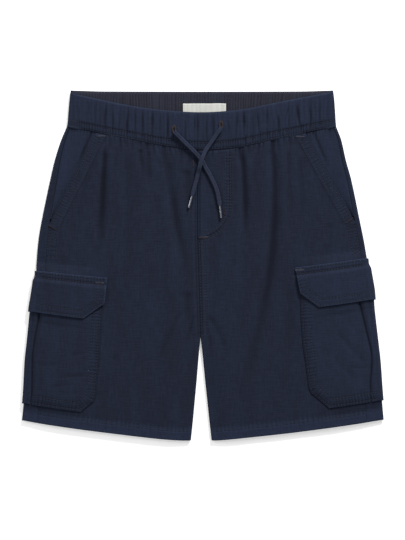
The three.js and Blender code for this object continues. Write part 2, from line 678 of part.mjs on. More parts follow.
function cargoPocket(leg) {
  const inner = (y) => leg.pocketInner(y);
  const pleat = (y) => leg.side(y) - leg.sign * leg.pleat(y);
  const fold = (y) => leg.side(y) - leg.sign * EDGE_RADIUS;
  const beside = (far) => ({ zone: "front", at: (y) => pleat(y) - leg.sign * far });
  const face = (steps) => range(0, 1, steps).map((s) => ({
    zone: "front", at: blendLines(inner, beside(3).at, s) }));
  const strip = [PLEAT_HALF, 0, -PLEAT_HALF].map(beside);
  const last = [0.5, 1].map((s) => ({ zone: "front", at: blendLines(strip[2].at, fold, s) }));
  const edge = range(HALF_TURN, -HALF_TURN, 6).slice(1).map((angle) => ({ zone: "edge", angle }));
  const under = [POCKET_BACK / 3, (2 * POCKET_BACK) / 3, POCKET_BACK - 1].map((inset) => ({
    zone: "under", at: (y) => leg.side(y) - leg.sign * inset }));
  const hidden = leg.rowOf(leg.side(leg.pocket.top), leg.pocket.top);
  const rows = [hidden, ...legRows(leg).filter((v) => v > hidden + 0.01 && v < leg.pocket.bottom - 0.02)];
  const rowsDown = [...rows, leg.pocket.bottom - 0.035, leg.pocket.bottom - 0.018, leg.pocket.bottom];
  const grid = (faceSteps, outside) => rowsDown.map((v) =>
    [...face(faceSteps), ...strip, ...last, ...edge, ...under].map((station) => {
      const base = skin(leg, station, v, LAY_GAP + (outside ? CLOTH : 0));
      if (!outside || station.zone !== "front") return base;
      base.z += pocketSwell(leg, base.x, base.y, v);
      const fromPleat = Math.abs(leg.inset(base.x, base.y) - leg.pleat(base.y));
      base.z -= PLEAT_DEEP * Math.max(0, 1 - fromPleat / PLEAT_HALF);
      return base;
    }));
  return wall(`cargo_pocket_${leg.name}`, COTTON, grid(9, true), grid(6, false));
}

// The flap hangs from its stitched strip, over the pocket's top, and goes round the side with it.
function cargoFlap(leg) {
  const inner = (y) => leg.flapInner(y);
  const fold = (y) => leg.side(y) - leg.sign * EDGE_RADIUS;
  const { top, bottom } = leg.flap;
  const face = (steps) => range(0, 1, steps).map((s) => ({ zone: "front", at: blendLines(inner, fold, s) }));
  const edge = range(HALF_TURN, -HALF_TURN, 6).slice(1).map((angle) => ({ zone: "edge", angle }));
  const under = [POCKET_BACK / 2, POCKET_BACK].map((inset) => ({
    zone: "under", at: (y) => leg.side(y) - leg.sign * inset }));
  const shares = [0, 0.06, 0.12, 0.2, 0.28, 0.5, 0.72, 0.86, 1];
  const grid = (faceSteps, outside) => shares.map((share) => {
    const v = lerp(top, bottom, share);
    const rise = smoothstep(share, 0.1, 0.26);
    return [...face(faceSteps), ...edge, ...under].map((station) => {
      const soft = station.zone === "front" ? FLAP_LIFT : 0;
      const off = LAY_GAP + rise * (LAYER + soft) + (outside ? CLOTH : 0);
      const hinge = outside && share < 0.13 ? FLAP_HINGE : 0;
      return skin(leg, station, v, off + (station.zone === "front" ? hinge : 0));
    });
  });
  return wall(`cargo_flap_${leg.name}`, COTTON, grid(10, true), grid(6, false));
}

// Depth of the front band's gathers at a point, v from the seam (0) to the top edge (1).
function gathersAt(x, v) {
  let sum = 0;
  for (const g of GATHERS) {
    const t = (x - g.x - g.lean * v) / g.wide;
    sum += g.deep * Math.exp(-t * t);
  }
  return sum * smoothstep(v, -0.1, 0.25);
}

const STITCHED_STRIP = 0.21; // share of the band's height below its upper row of stitches
const FRONT_BAND_ROWS = [0, 0.07, 0.14, STITCHED_STRIP, 0.32, 0.62, 0.9, 1];
const BACK_BAND_ROWS = [0, 0.1, 0.5, 0.93, 1];
const PLAIN_COLUMNS = 24;

function bandInside(x) {
  const t = Math.abs(x) / 140;
  return 2 * BAND_RADIUS - BAND_CLOTH + BAND_LIFT * (1 - smoothstep(t, 0.25, 0.95));
}

// Height of the front band's outside.
function bandOutside(x, v, pucker) {
  const t = (v - STITCHED_STRIP) / (1 - STITCHED_STRIP);
  const channel = t > 0 ? Math.sqrt(Math.max(0, 1 - (2 * t - 1) ** 4)) : 0;
  const ends = smoothstep(139 - Math.abs(x), 0, 16);
  const small = PUCKER_DEEP * pucker * (v < STITCHED_STRIP - 0.01 && v > 0.01 ? 1 : 0.45);
  return bandInside(x) + BAND_CLOTH + ends * (CHANNEL_CROWN * channel + small - GATHER_SHARE * gathersAt(x, v));
}

// A band's end curls towards the other band, to meet it half way up the fold.
function bandCurl(side, y, surface, up, thickness, steps) {
  const sign = side === "left" ? -1 : 1;
  const edge = bandEnd[side](y);
  const centre = edge - sign * BAND_RADIUS;
  const middle = surface - up * BAND_RADIUS;
  const radius = BAND_RADIUS - thickness;
  return range(HALF_TURN - 0.07, 0, steps).map((a) => new THREE.Vector3(
    centre + sign * radius * Math.sin(a), y, middle + up * radius * Math.cos(a)));
}

// A band from rows of heights: up is 1 for the front band, which faces up, and -1 for the back one.
function band({ name, look, up, rows, rowY, outside, inside, columns, innerColumns }) {
  const grid = (count, isOuter) => rows.map((v) => {
    const reach = isOuter ? 0 : BAND_CLOTH;
    const surface = up > 0 ? 2 * BAND_RADIUS : 0;
    const ends = ["left", "right"].map((side) => {
      const y = rowY(bandEnd[side](rowY(0, v)), v);
      return bandCurl(side, y, surface, up, reach, isOuter ? 4 : 2);
    });
    const [from, to] = [ends[0].at(-1).x, ends[1].at(-1).x];
    const field = range(from, to, count).slice(1, -1).map((x, i) => {
      const height = isOuter ? outside(x, v, i % 2 ? 1 : -1) : inside(x, v, i % 2 ? 1 : -1);
      return new THREE.Vector3(x, rowY(x, v), height);
    });
    return [...ends[0], ...field, ...ends[1].reverse()];
  });
  return wall(name, look, grid(columns, true), grid(innerColumns, false));
}

function frontBand() {
  const rowY = (x, v) => lerp(seamLine(x), frontTop(x), v);
  return band({
    name: "waistband_front",
    look: COTTON,
    up: 1,
    rows: FRONT_BAND_ROWS,
    rowY,
    outside: bandOutside,
    inside: bandInside,
    columns: 2 * BAND_PUCKERS,
    innerColumns: PLAIN_COLUMNS,
  });
}

// The back band's ribs show inside the waist; its underside rests flat.
function backBand() {
  const rowY = (x, v) => lerp(WAIST_SIDE_Y, backTop(x), v);
  const ribs = (x, v, rib) => {
    const ends = smoothstep(139 - Math.abs(x), 2, 14);
    return BAND_CLOTH + 0.5 * RIB_DEEP * (1 + rib) * ends;
  };
  return band({
    name: "waistband_back",
    look: COTTON_INSIDE,
    up: -1,
    rows: BACK_BAND_ROWS,
    rowY,
    outside: () => 0,
    inside: ribs,
    columns: PLAIN_COLUMNS,
    innerColumns: 2 * BAND_RIBS,
  });
}

function makeLabel() {
  const { left, right, bottom, top, thick } = LABEL_BOX;
  const base = BAND_CLOTH + RIB_DEEP + SEAM_GAP;
  const layer = (z) => [top, bottom].map((y) => range(left, right, 4).map((x) => new THREE.Vector3(x, y, z)));
  return wall("label", LABEL, layer(base + thick), layer(base));
}

// Height of whatever cloth is uppermost at the middle of the front.
function topAt(x, y) {
  const leg = x < legs.left.inner(y) ? legs.left : legs.right;
  const v = (y - seamLine(x)) / (frontTop(x) - seamLine(x));
  const crown = bandInside(x) + BAND_CLOTH + CHANNEL_CROWN + 0.5 * PUCKER_DEEP;
  return lerp(front(leg, x, y) + doubled(leg, x, y), crown, smoothstep(v, -0.12, 0));
}

function eyelet(name, start) {
  const { wide, tall, thick, sides, above } = EYELET;
  const shape = new THREE.Shape().absellipse(0, 0, wide / 2, tall / 2, 0, 2 * Math.PI);
  const geometry = new THREE.ExtrudeGeometry(shape, { depth: thick, bevelEnabled: false, curveSegments: sides });
  const mesh = meshOf(name, THREAD, geometry);
  mesh.position.set(start.x, start.y + above, topAt(start.x, start.y) + SEAM_GAP);
  return mesh;
}

// The cord's middle line, lying on the cloth and lifted where it passes over the other end.
function cordLine(cord) {
  const last = cord.route.length - 1;
  const points = cord.route.map(({ x, y }, i) => {
    const near = 1 - smoothstep(Math.hypot(x - CROSSING.x, y - CROSSING.y), 5, CROSSING.reach);
    const over = cord.crossesOver ? near * (CORD_THICK + SEAM_GAP) : 0;
    const onEyelet = 1 - smoothstep(i, 0.5, 3);
    const rest = topAt(x, y) + SEAM_GAP + CORD_THICK / 2;
    const tip = smoothstep(i, last - 2, last) * (AGLET.radius - CORD_THICK / 2);
    return new THREE.Vector3(x, y, rest + over + onEyelet * (EYELET.thick + SEAM_GAP) + tip);
  });
  return points;
}

// The section is round in a space that is stretched upwards, so that it comes out flattened.
function cordTube(name, points) {
  const stretched = points.map((p) => new THREE.Vector3(p.x, p.y, p.z / CORD_FLAT));
  const section = new THREE.Shape().setFromPoints(range(0, 2 * Math.PI, CORD_SIDES).slice(0, -1).map((a) =>
    new THREE.Vector2(Math.cos(a), Math.sin(a)).multiplyScalar(CORD_WIDE / 2)));
  const geometry = new THREE.ExtrudeGeometry(section, {
    steps: CORD_STEPS, extrudePath: new THREE.CatmullRomCurve3(stretched) });
  geometry.scale(1, 1, CORD_FLAT);
  return meshOf(name, CORD, geometry);
}

function aglet(name, points) {
  const { radius, length, sides } = AGLET;
  const [end, before] = [points.at(-1), points.at(-2)];
  const along = new THREE.Vector3().subVectors(end, before).setZ(0).normalize();
  const profile = [[0, 0], [radius, 0], [radius, length - 1], [radius * 0.6, length], [0, length]];
  const geometry = new THREE.LatheGeometry(profile.map(([r, h]) => new THREE.Vector2(r, h)), sides);
  const mesh = meshOf(name, STEEL, geometry);
  mesh.quaternion.setFromUnitVectors(new THREE.Vector3(0, 1, 0), along);
  mesh.position.copy(end).addScaledVector(along, SEAM_GAP);
  const tip = mesh.position.clone().addScaledVector(along, length);
  mesh.position.z = Math.max(mesh.position.z, topAt(tip.x, tip.y) + SEAM_GAP + radius);
  return mesh;
}

const shorts = new THREE.Group();
for (const leg of Object.values(legs)) {
  shorts.add(frontPanel(leg), backPanel(leg), hipPanel(leg), cargoPocket(leg), cargoFlap(leg));
}
shorts.add(frontBand(), backBand(), makeLabel());
for (const [name, cord] of Object.entries(CORDS)) {
  const points = cordLine(cord);
  shorts.add(eyelet(`eyelet_${name}`, cord.route[0]));
  shorts.add(cordTube(`drawstring_${name}`, points), aglet(`aglet_${name}`, points));
}

export default shorts;
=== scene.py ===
"""A child's cotton cargo shorts, laid flat on their back: cloth, sewing, drawstring, label and a plain studio.

Sizes in the tables are millimetres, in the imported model's frame: X runs across the waist, Y towards the
waistband and Z upwards from the floor. Left and right are those of the picture.
"""

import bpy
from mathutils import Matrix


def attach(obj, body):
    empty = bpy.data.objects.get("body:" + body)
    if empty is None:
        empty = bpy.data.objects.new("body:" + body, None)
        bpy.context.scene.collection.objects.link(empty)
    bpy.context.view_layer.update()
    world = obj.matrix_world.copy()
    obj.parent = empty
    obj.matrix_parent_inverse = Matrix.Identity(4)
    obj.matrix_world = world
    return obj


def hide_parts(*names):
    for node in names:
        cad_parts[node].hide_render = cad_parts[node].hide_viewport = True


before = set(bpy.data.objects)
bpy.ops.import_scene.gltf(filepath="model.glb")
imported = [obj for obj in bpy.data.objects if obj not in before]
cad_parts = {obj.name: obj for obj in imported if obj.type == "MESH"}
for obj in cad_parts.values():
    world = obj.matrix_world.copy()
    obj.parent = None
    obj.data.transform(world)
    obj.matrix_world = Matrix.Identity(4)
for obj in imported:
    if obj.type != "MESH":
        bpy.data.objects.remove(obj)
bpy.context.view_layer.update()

import logging
import math
from dataclasses import dataclass, field
from enum import Enum
from typing import Callable, Sequence

import bmesh
import bpy
import numpy as np
from mathutils import Matrix, Vector

Array = np.ndarray
Surface = Callable[[Array, Array], Array]
Line = Callable[[Array], Array]
Colour = tuple[float, float, float]

log = logging.getLogger("cargo_shorts")

MM = 0.001
BODY = "root"
HALF_TURN = math.pi / 2

# The solids' own sizes, which the cloth fits.
SEAM_GAP = 0.3
LAY_GAP = 0.4
SOLID_CLOTH = 1.3
LAYER = SOLID_CLOTH + LAY_GAP
EDGE_RADIUS = 2.2
LOFT = 1.5
CROTCH_Y = -75.8
HEM_CORNER = 190.2
LEG_LENGTH = 307.0
WAIST_SIDE_Y = 145.6
DIP_END = 0.42
BAND_RADIUS = 2.7
ROW_RAMP = 0.03

# Thin cloth of the finished piece, its wear at the hems, and the border that shows wear: the last row.
CLOTH = 0.9
HEM_WEAR = 0.46
LAST_ROW = (False, True, False, False)

# How finely pieces are made: columns round a side fold, at a band's end and seen from above, a cord's sides, an
# eyelet's stitches, and the turns of finding where a line crosses a row.
FOLD_COLUMNS = 13
END_COLUMNS = 9
SEEN_COLUMNS = 50
CORD_SIDES = 28
EYELET_STITCHES = 54
ROUNDS = 6
FULL_CURL = HALF_TURN - 0.08
TINY = 1e-9

# Kinds of shader sockets, and the scale of the yarns' slubs.
VALUE, VECTOR = "NodeSocketFloat", "NodeSocketVector"
SLUB_SCALE = 660.0


class Slot(Enum):
    """The record's material slots."""

    COTTON = "cotton"
    CORD = "cord"
    THREAD = "eyelet_thread"
    LABEL = "label"
    METAL = "aglet_metal"


def lerp(a: Array | float, b: Array | float, t: Array | float) -> Array | float:
    """Straight blend from a to b."""
    return a + (b - a) * t


def ease(t: Array | float, start: float = 0.0, end: float = 1.0) -> Array:
    """Smooth step that is 0 at start and 1 at end.

    Args:
        t: Where to read it.
        start: Where it leaves 0.
        end: Where it reaches 1.

    Returns:
        The step's value at each t.
    """
    s = np.clip((np.asarray(t, float) - start) / (end - start), 0, 1)
    return s * s * (3 - 2 * s)


def points(*axes: Array | float) -> Array:
    """Joins coordinates into points, spread to the same shape."""
    return np.stack(np.broadcast_arrays(*axes), axis=-1)


def unit(vectors: Array) -> Array:
    """Vectors of length 1 in the same directions."""
    return vectors / np.maximum(np.linalg.norm(vectors, axis=-1, keepdims=True), TINY)


def run_of(line: Array) -> Array:
    """How far along a line each of its points lies."""
    return np.insert(np.cumsum(np.linalg.norm(np.diff(line, axis=0), axis=1)), 0, 0)


def between(t: Array, start: float, end: float, ramp: float) -> Array:
    """1 from start to end, with straight ramps of the given length outside them."""
    return np.clip(np.minimum((t - start) / ramp + 1, (end - t) / ramp + 1), 0, 1)


@dataclass(frozen=True)
class Marks:
    """A pattern line through marks, read at a key.

    Attributes:
        rows: Pairs of key and value, keys rising.
        rounded: Whether the line curves through its marks or runs straight between them.
    """

    rows: tuple[tuple[float, float], ...]
    rounded: bool = True

    def __call__(self, key: Array | float) -> Array:
        """Reads the line.

        Args:
            key: Keys, of any shape.

        Returns:
            The line's values there, carried on straight past its ends.
        """
        t = np.asarray(key, float)
        at, out = (np.array(column) for column in zip(*self.rows))
        last = len(at) - 1
        i = np.clip(np.searchsorted(at, t, side="right") - 1, 0, last - 1)
        span = at[i + 1] - at[i]
        s = (t - at[i]) / span
        if not self.rounded:
            return lerp(out[i], out[i + 1], s)
        before, after = np.maximum(np.arange(last + 1) - 1, 0), np.minimum(np.arange(last + 1) + 1, last)
        slope = (out[after] - out[before]) / (at[after] - at[before])
        bend = lerp(out[i], out[i + 1], s * s * (3 - 2 * s))
        curve = bend + span * (s * (1 - s) ** 2 * slope[i] + s * s * (s - 1) * slope[i + 1])
        curve = np.where(t < at[0], out[0] + slope[0] * (t - at[0]), curve)
        return np.where(t > at[-1], out[-1] + slope[-1] * (t - at[-1]), curve)


@dataclass(frozen=True)
class Unevenness:
    """Smooth, seeded unevenness of hand-sewn and washed cloth, from -1 to 1."""

    seed: int
    cells: int = 64

    def __call__(self, x: Array, y: Array | float = 0.0) -> Array:
        """Reads it.

        Args:
            x: Places across, in cells.
            y: Places along, in cells.

        Returns:
            The unevenness there.
        """
        lattice = np.random.default_rng(self.seed).uniform(-1, 1, (self.cells, self.cells))
        x, y = np.broadcast_arrays(np.asarray(x, float), np.asarray(y, float))
        i, j = np.floor(x).astype(int), np.floor(y).astype(int)
        fx, fy = ease(x - i), ease(y - j)
        corner = [lattice[(i + a) % self.cells, (j + b) % self.cells] for a in (0, 1) for b in (0, 1)]
        return lerp(lerp(corner[0], corner[1], fy), lerp(corner[2], corner[3], fy), fx)


def ripple(x: Array, pitch: float, seed: int, drift: Array | float = 0.0) -> Array:
    """Uneven ripples of gathered cloth.

    Args:
        x: Places along the gathering.
        pitch: Their usual spacing.
        seed: Which ripples.
        drift: How far they have wandered sideways.

    Returns:
        Heights from about -1 to 1.
    """
    noise = Unevenness(seed)
    phase = (x + drift) / pitch + 0.42 * noise(x / (2.3 * pitch), drift / 9.0)
    size = 0.68 + 0.32 * noise(x / (1.6 * pitch), 7.5 + drift / 6.0)
    return np.sin(2 * math.pi * phase) * size


# The front's waist seam and its band's top edge, and the back band's straight top: keys are x.
WAIST_SEAM = Marks(((-143, 145.6), (-105, 138.0), (-72, 131.6), (-40, 125.2), (0, 120.8),
                    (40, 124.2), (72, 131.6), (105, 138.4), (140.3, 145.6)))
FRONT_TOP = Marks(((-143, 182.0), (-105, 173.6), (-72, 167.2), (-40, 163.0), (0, 160.9),
                   (40, 163.8), (72, 170.0), (105, 176.6), (140.3, 183.0)))
BACK_TOP = Marks(((-139, 183.9), (-100, 182.9), (100, 182.9), (137, 183.9)))
# The bands' folded ends: keys are y.
BAND_ENDS = {
    -1: Marks(((145.6, -143.0), (150, -142.2), (160, -141.4), (174, -140.2), (184, -138.9))),
    1: Marks(((145.6, 140.3), (150, 139.8), (160, 139.2), (174, 138.2), (184, 136.9))),
}
# The mock fly's stitched outline on the right front: keys are y.
FLY = Marks(((28, -6.5), (32, 4.5), (36.5, 12.8), (43, 19.6), (52, 24.8), (62, 26.2), (120, 26.4)))


def seam_line(x: Array) -> Array:
    """Height of the front's waist seam, level past the sides."""
    return WAIST_SEAM(np.clip(x, WAIST_SEAM.rows[0][0], WAIST_SEAM.rows[-1][0]))


def band_foot(x: Array) -> Array:
    """Height of the front band's lower edge."""
    across = np.abs(x)
    return 2 * BAND_RADIUS + 0.05 - 1.3 * ease(across, 94, 114) * (1 - ease(across, 122, 136))


def sewn_under(height: Array, x: Array, y: Array) -> Array:
    """Draws cloth down to the band's lower edge, where it is sewn on."""
    below = np.maximum(seam_line(x) - y, 0)
    return lerp(height, band_foot(x) - 0.15, np.exp(-((below / 0.8) ** 2)))


@dataclass(frozen=True)
class Fold:
    """A soft trough from one place to another.

    Attributes:
        x0, y0: Where it starts.
        x1, y1: Where it ends.
        bow: How far its middle bends sideways.
        wide0, wide1: Half widths at its ends.
        deep: Its depth; a ridge where negative.
        dies: From which share of its length it dies away.
    """

    x0: float
    y0: float
    x1: float
    y1: float
    bow: float
    wide0: float
    wide1: float
    deep: float
    dies: float = 0.45

    def depth(self, x: Array, y: Array) -> Array:
        """Reads the trough's depth.

        Args:
            x: Places across.
            y: Places along.

        Returns:
            The depths.
        """
        s = (self.y0 - y) / (self.y0 - self.y1)
        along = np.clip(s, 0, 1)
        middle = lerp(self.x0, self.x1, along) + self.bow * 4 * along * (1 - along)
        t = (x - middle) / lerp(self.wide0, self.wide1, along)
        fade = ease(s, -0.06, 0.08) * (1 - ease(s, self.dies, 1.05))
        return self.deep * fade * np.exp(-t * t) * ((s >= -0.1) & (s <= 1.1))


# The folds that the solids have, then finer ones that the finished cloth adds.
MAIN_FOLDS = (
    Fold(-102.7, 121, -108.2, 8, 0, 3.2, 6.5, 1.9),
    Fold(-78.6, 112, -75.9, -30, 0, 6, 10, 0.9),
    Fold(-65.6, 122, -61.8, 90, 0, 2.8, 4, 1.1),
    Fold(-57.0, 119, -56.0, 78, 0, 3, 5, 0.9),
    Fold(-40.8, 118, -9.5, -40, -2, 4, 8, 1.6),
    Fold(-16.6, 100, -13.5, 46, 0, 5, 5, 1.2),
    Fold(-16.6, -28, -12.0, -80, 0, 6, 6, 1.0),
    Fold(41.4, 118, 45.3, 18, 1, 3.2, 5.5, 1.7),
    Fold(73.7, 128, 33.0, -150, 15.7, 4, 9, 2.0),
    Fold(102.0, 112, 107.3, 24, 0, 5, 7, 0.7),
    Fold(133.1, 44, 135.6, 10, 0, 4, 4, 0.6),
)
FINE_FOLDS = (
    Fold(-31.5, 92, -17.0, -20, 2, 4.0, 6.0, -0.45),
    Fold(-96.0, 124, -98.5, 40, 1, 2.6, 5.0, -0.4),
    Fold(49.5, 116, 52.5, 30, 1, 3.0, 5.0, -0.4),
    Fold(84.0, 118, 78.0, -60, 6, 4.5, 8.0, -0.5),
    Fold(-120.0, 96, -133.0, 10, -3, 3.5, 7.0, 0.45),
    Fold(-90.0, 60, -88.0, -90, 2, 7.0, 12.0, 0.45),
    Fold(-49.0, 70, -38.0, -110, 3, 8.0, 12.0, 0.5),
    Fold(12.0, 20, 14.0, -120, 1, 7.0, 11.0, 0.5),
    Fold(63.0, 20, 66.0, -130, -3, 9.0, 13.0, -0.35),
    Fold(92.0, -20, 86.0, -150, 2, 7.0, 12.0, 0.5),
    Fold(-24.0, -50, -52.0, -128, -4, 4.0, 7.0, 0.5),
    Fold(79.5, 60, 36.0, -150, 9, 6.0, 12.0, 1.0, 0.7),
    Fold(-105.0, 100, -110.0, -20, 0, 4.0, 8.0, 0.7, 0.75),
    Fold(-7.6, 84, -6.6, -70, 0, 1.1, 1.2, 0.45, 0.9),
    Fold(-3.9, 24, -2.2, -70, 0, 0.9, 0.9, 0.3, 0.9),
    Fold(-35.0, 112, -13.0, -20, -1, 3.2, 6.0, 0.9, 0.6),
    Fold(-46.0, 112, -40.0, 60, 0, 3.0, 5.0, 0.6, 0.6),
    Fold(26.5, 112, 27.5, 70, 0, 2.6, 4.0, 0.4, 0.5),
    Fold(90.0, 120, 92.0, 50, 0, 3.4, 6.0, 0.6, 0.6),
    Fold(42.5, 112, 45.0, 30, 1, 2.8, 4.5, 0.5, 0.6),
    Fold(-13.0, 112, -10.5, 72, 0, 4.5, 5.0, 0.7, 0.6),
    Fold(8.0, -54, 30.0, -110, 3, 4.0, 7.0, 0.55),
    Fold(-8.5, -52, -20.0, -92, 0, 2.2, 4.0, 0.45),
    Fold(2.0, -58, 10.0, -90, 0, 2.2, 4.0, 0.4),
    Fold(133.1, 44, 135.6, 10, 0, 4.0, 4.0, -0.35),
)

# Soft folds of the backs, which rise off the floor.
BACK_FOLDS = (
    Fold(-120, 128, -128, 20, 0, 5, 8, 0.8), Fold(-84, 132, -80, -20, 2, 5, 9, 0.9),
    Fold(-48, 130, -40, 10, -2, 4, 8, 0.8), Fold(-20, 122, -14, -40, 0, 5, 8, 0.9),
    Fold(30, 130, 22, -20, 1, 5, 8, 0.8), Fold(66, 132, 58, -60, 3, 5, 9, 0.9),
    Fold(104, 130, 100, 0, 0, 5, 8, 0.7), Fold(-60, -50, -74, -150, 0, 8, 12, 0.6),
    Fold(70, -46, 84, -150, 0, 8, 12, 0.6), Fold(-28, -60, -44, -130, 0, 5, 9, 0.6),
    Fold(22, -62, 40, -128, 0, 5, 9, 0.6),
)

# Short gathers that fall from the waist seam: x, how far they lean, length, half width and depth.
WAIST_GATHERS = (
    (-102.7, 0, 20, 2.6, 0.60), (-78.6, 0, 18, 3.0, 0.35), (-65.6, 0, 15, 2.6, 0.60), (-57.0, 0, 15, 2.6, 0.55),
    (-40.8, 1, 18, 3.2, 0.75), (41.4, 0, 22, 2.8, 0.75), (73.7, -1, 28, 3.2, 0.85), (102.0, 0, 24, 3.2, 0.40),
    (-109, -1, 16, 1.7, 0.40), (-98, 1, 22, 1.6, 0.50), (-93, 0, 12, 1.4, 0.35), (-87, 2, 26, 2.0, 0.55),
    (-82, 1, 13, 1.5, 0.40), (-74, 1, 20, 1.8, 0.50), (-70, 0, 11, 1.3, 0.35), (-60, 2, 17, 1.6, 0.45),
    (-52, 1, 24, 1.8, 0.55), (-47, 3, 15, 1.5, 0.45), (-35, 4, 22, 1.7, 0.50), (-30, 2, 13, 1.4, 0.40),
    (-24, 3, 19, 1.6, 0.45), (-10, 1, 12, 1.3, 0.35), (3, 0, 10, 1.3, 0.30), (10, 0, 14, 1.4, 0.35),
    (17, 0, 11, 1.3, 0.30), (34, 0, 16, 1.5, 0.45), (38, 1, 24, 1.7, 0.55), (48, 1, 17, 1.6, 0.50),
    (54, 0, 12, 1.4, 0.40), (59, -2, 21, 1.7, 0.50), (64, -1, 14, 1.5, 0.40), (79, 1, 25, 1.9, 0.60),
    (85, 0, 14, 1.5, 0.40), (91, 2, 19, 1.7, 0.50), (97, 1, 12, 1.4, 0.35), (104, 2, 16, 1.6, 0.40),
)

# The front band's gathers: x at the seam, lean by the top edge, half width and depth.
BAND_GATHERS = (
    (-130, 0, 2.0, 0.5), (-121, 2, 2.0, 0.6), (-115, 2, 1.8, 0.6), (-103.5, 2, 2.0, 0.9), (-94.5, 0, 1.8, 0.7),
    (-88, 1, 1.6, 0.6), (-80.2, 2, 2.0, 1.3), (-72, 1, 1.8, 0.7), (-63, -1, 2.0, 0.9), (-53.6, 1, 2.0, 1.2),
    (-45, 0, 1.8, 0.7), (-37.3, 1, 1.8, 1.0), (-19, 1, 2.0, 0.8), (-8.6, 0, 1.2, 1.0), (-5.6, 0, 1.2, 1.0),
    (3.5, 0, 1.8, 0.6), (11.7, -1, 1.8, 0.8), (27, 0, 1.6, 0.6), (35, 1, 1.8, 0.8), (44.6, -2, 2.0, 1.4),
    (52.6, 0, 1.8, 0.7), (61, -5, 1.8, 0.9), (67.9, 1, 2.0, 1.4), (74.2, 0, 1.6, 0.7), (80, -1, 1.8, 0.8),
    (89.5, 0, 1.8, 0.6), (104.6, -8, 2.2, 1.5), (113.6, -1, 1.8, 0.7), (123.7, -1, 2.0, 0.9), (131, 0, 1.8, 0.5),
)


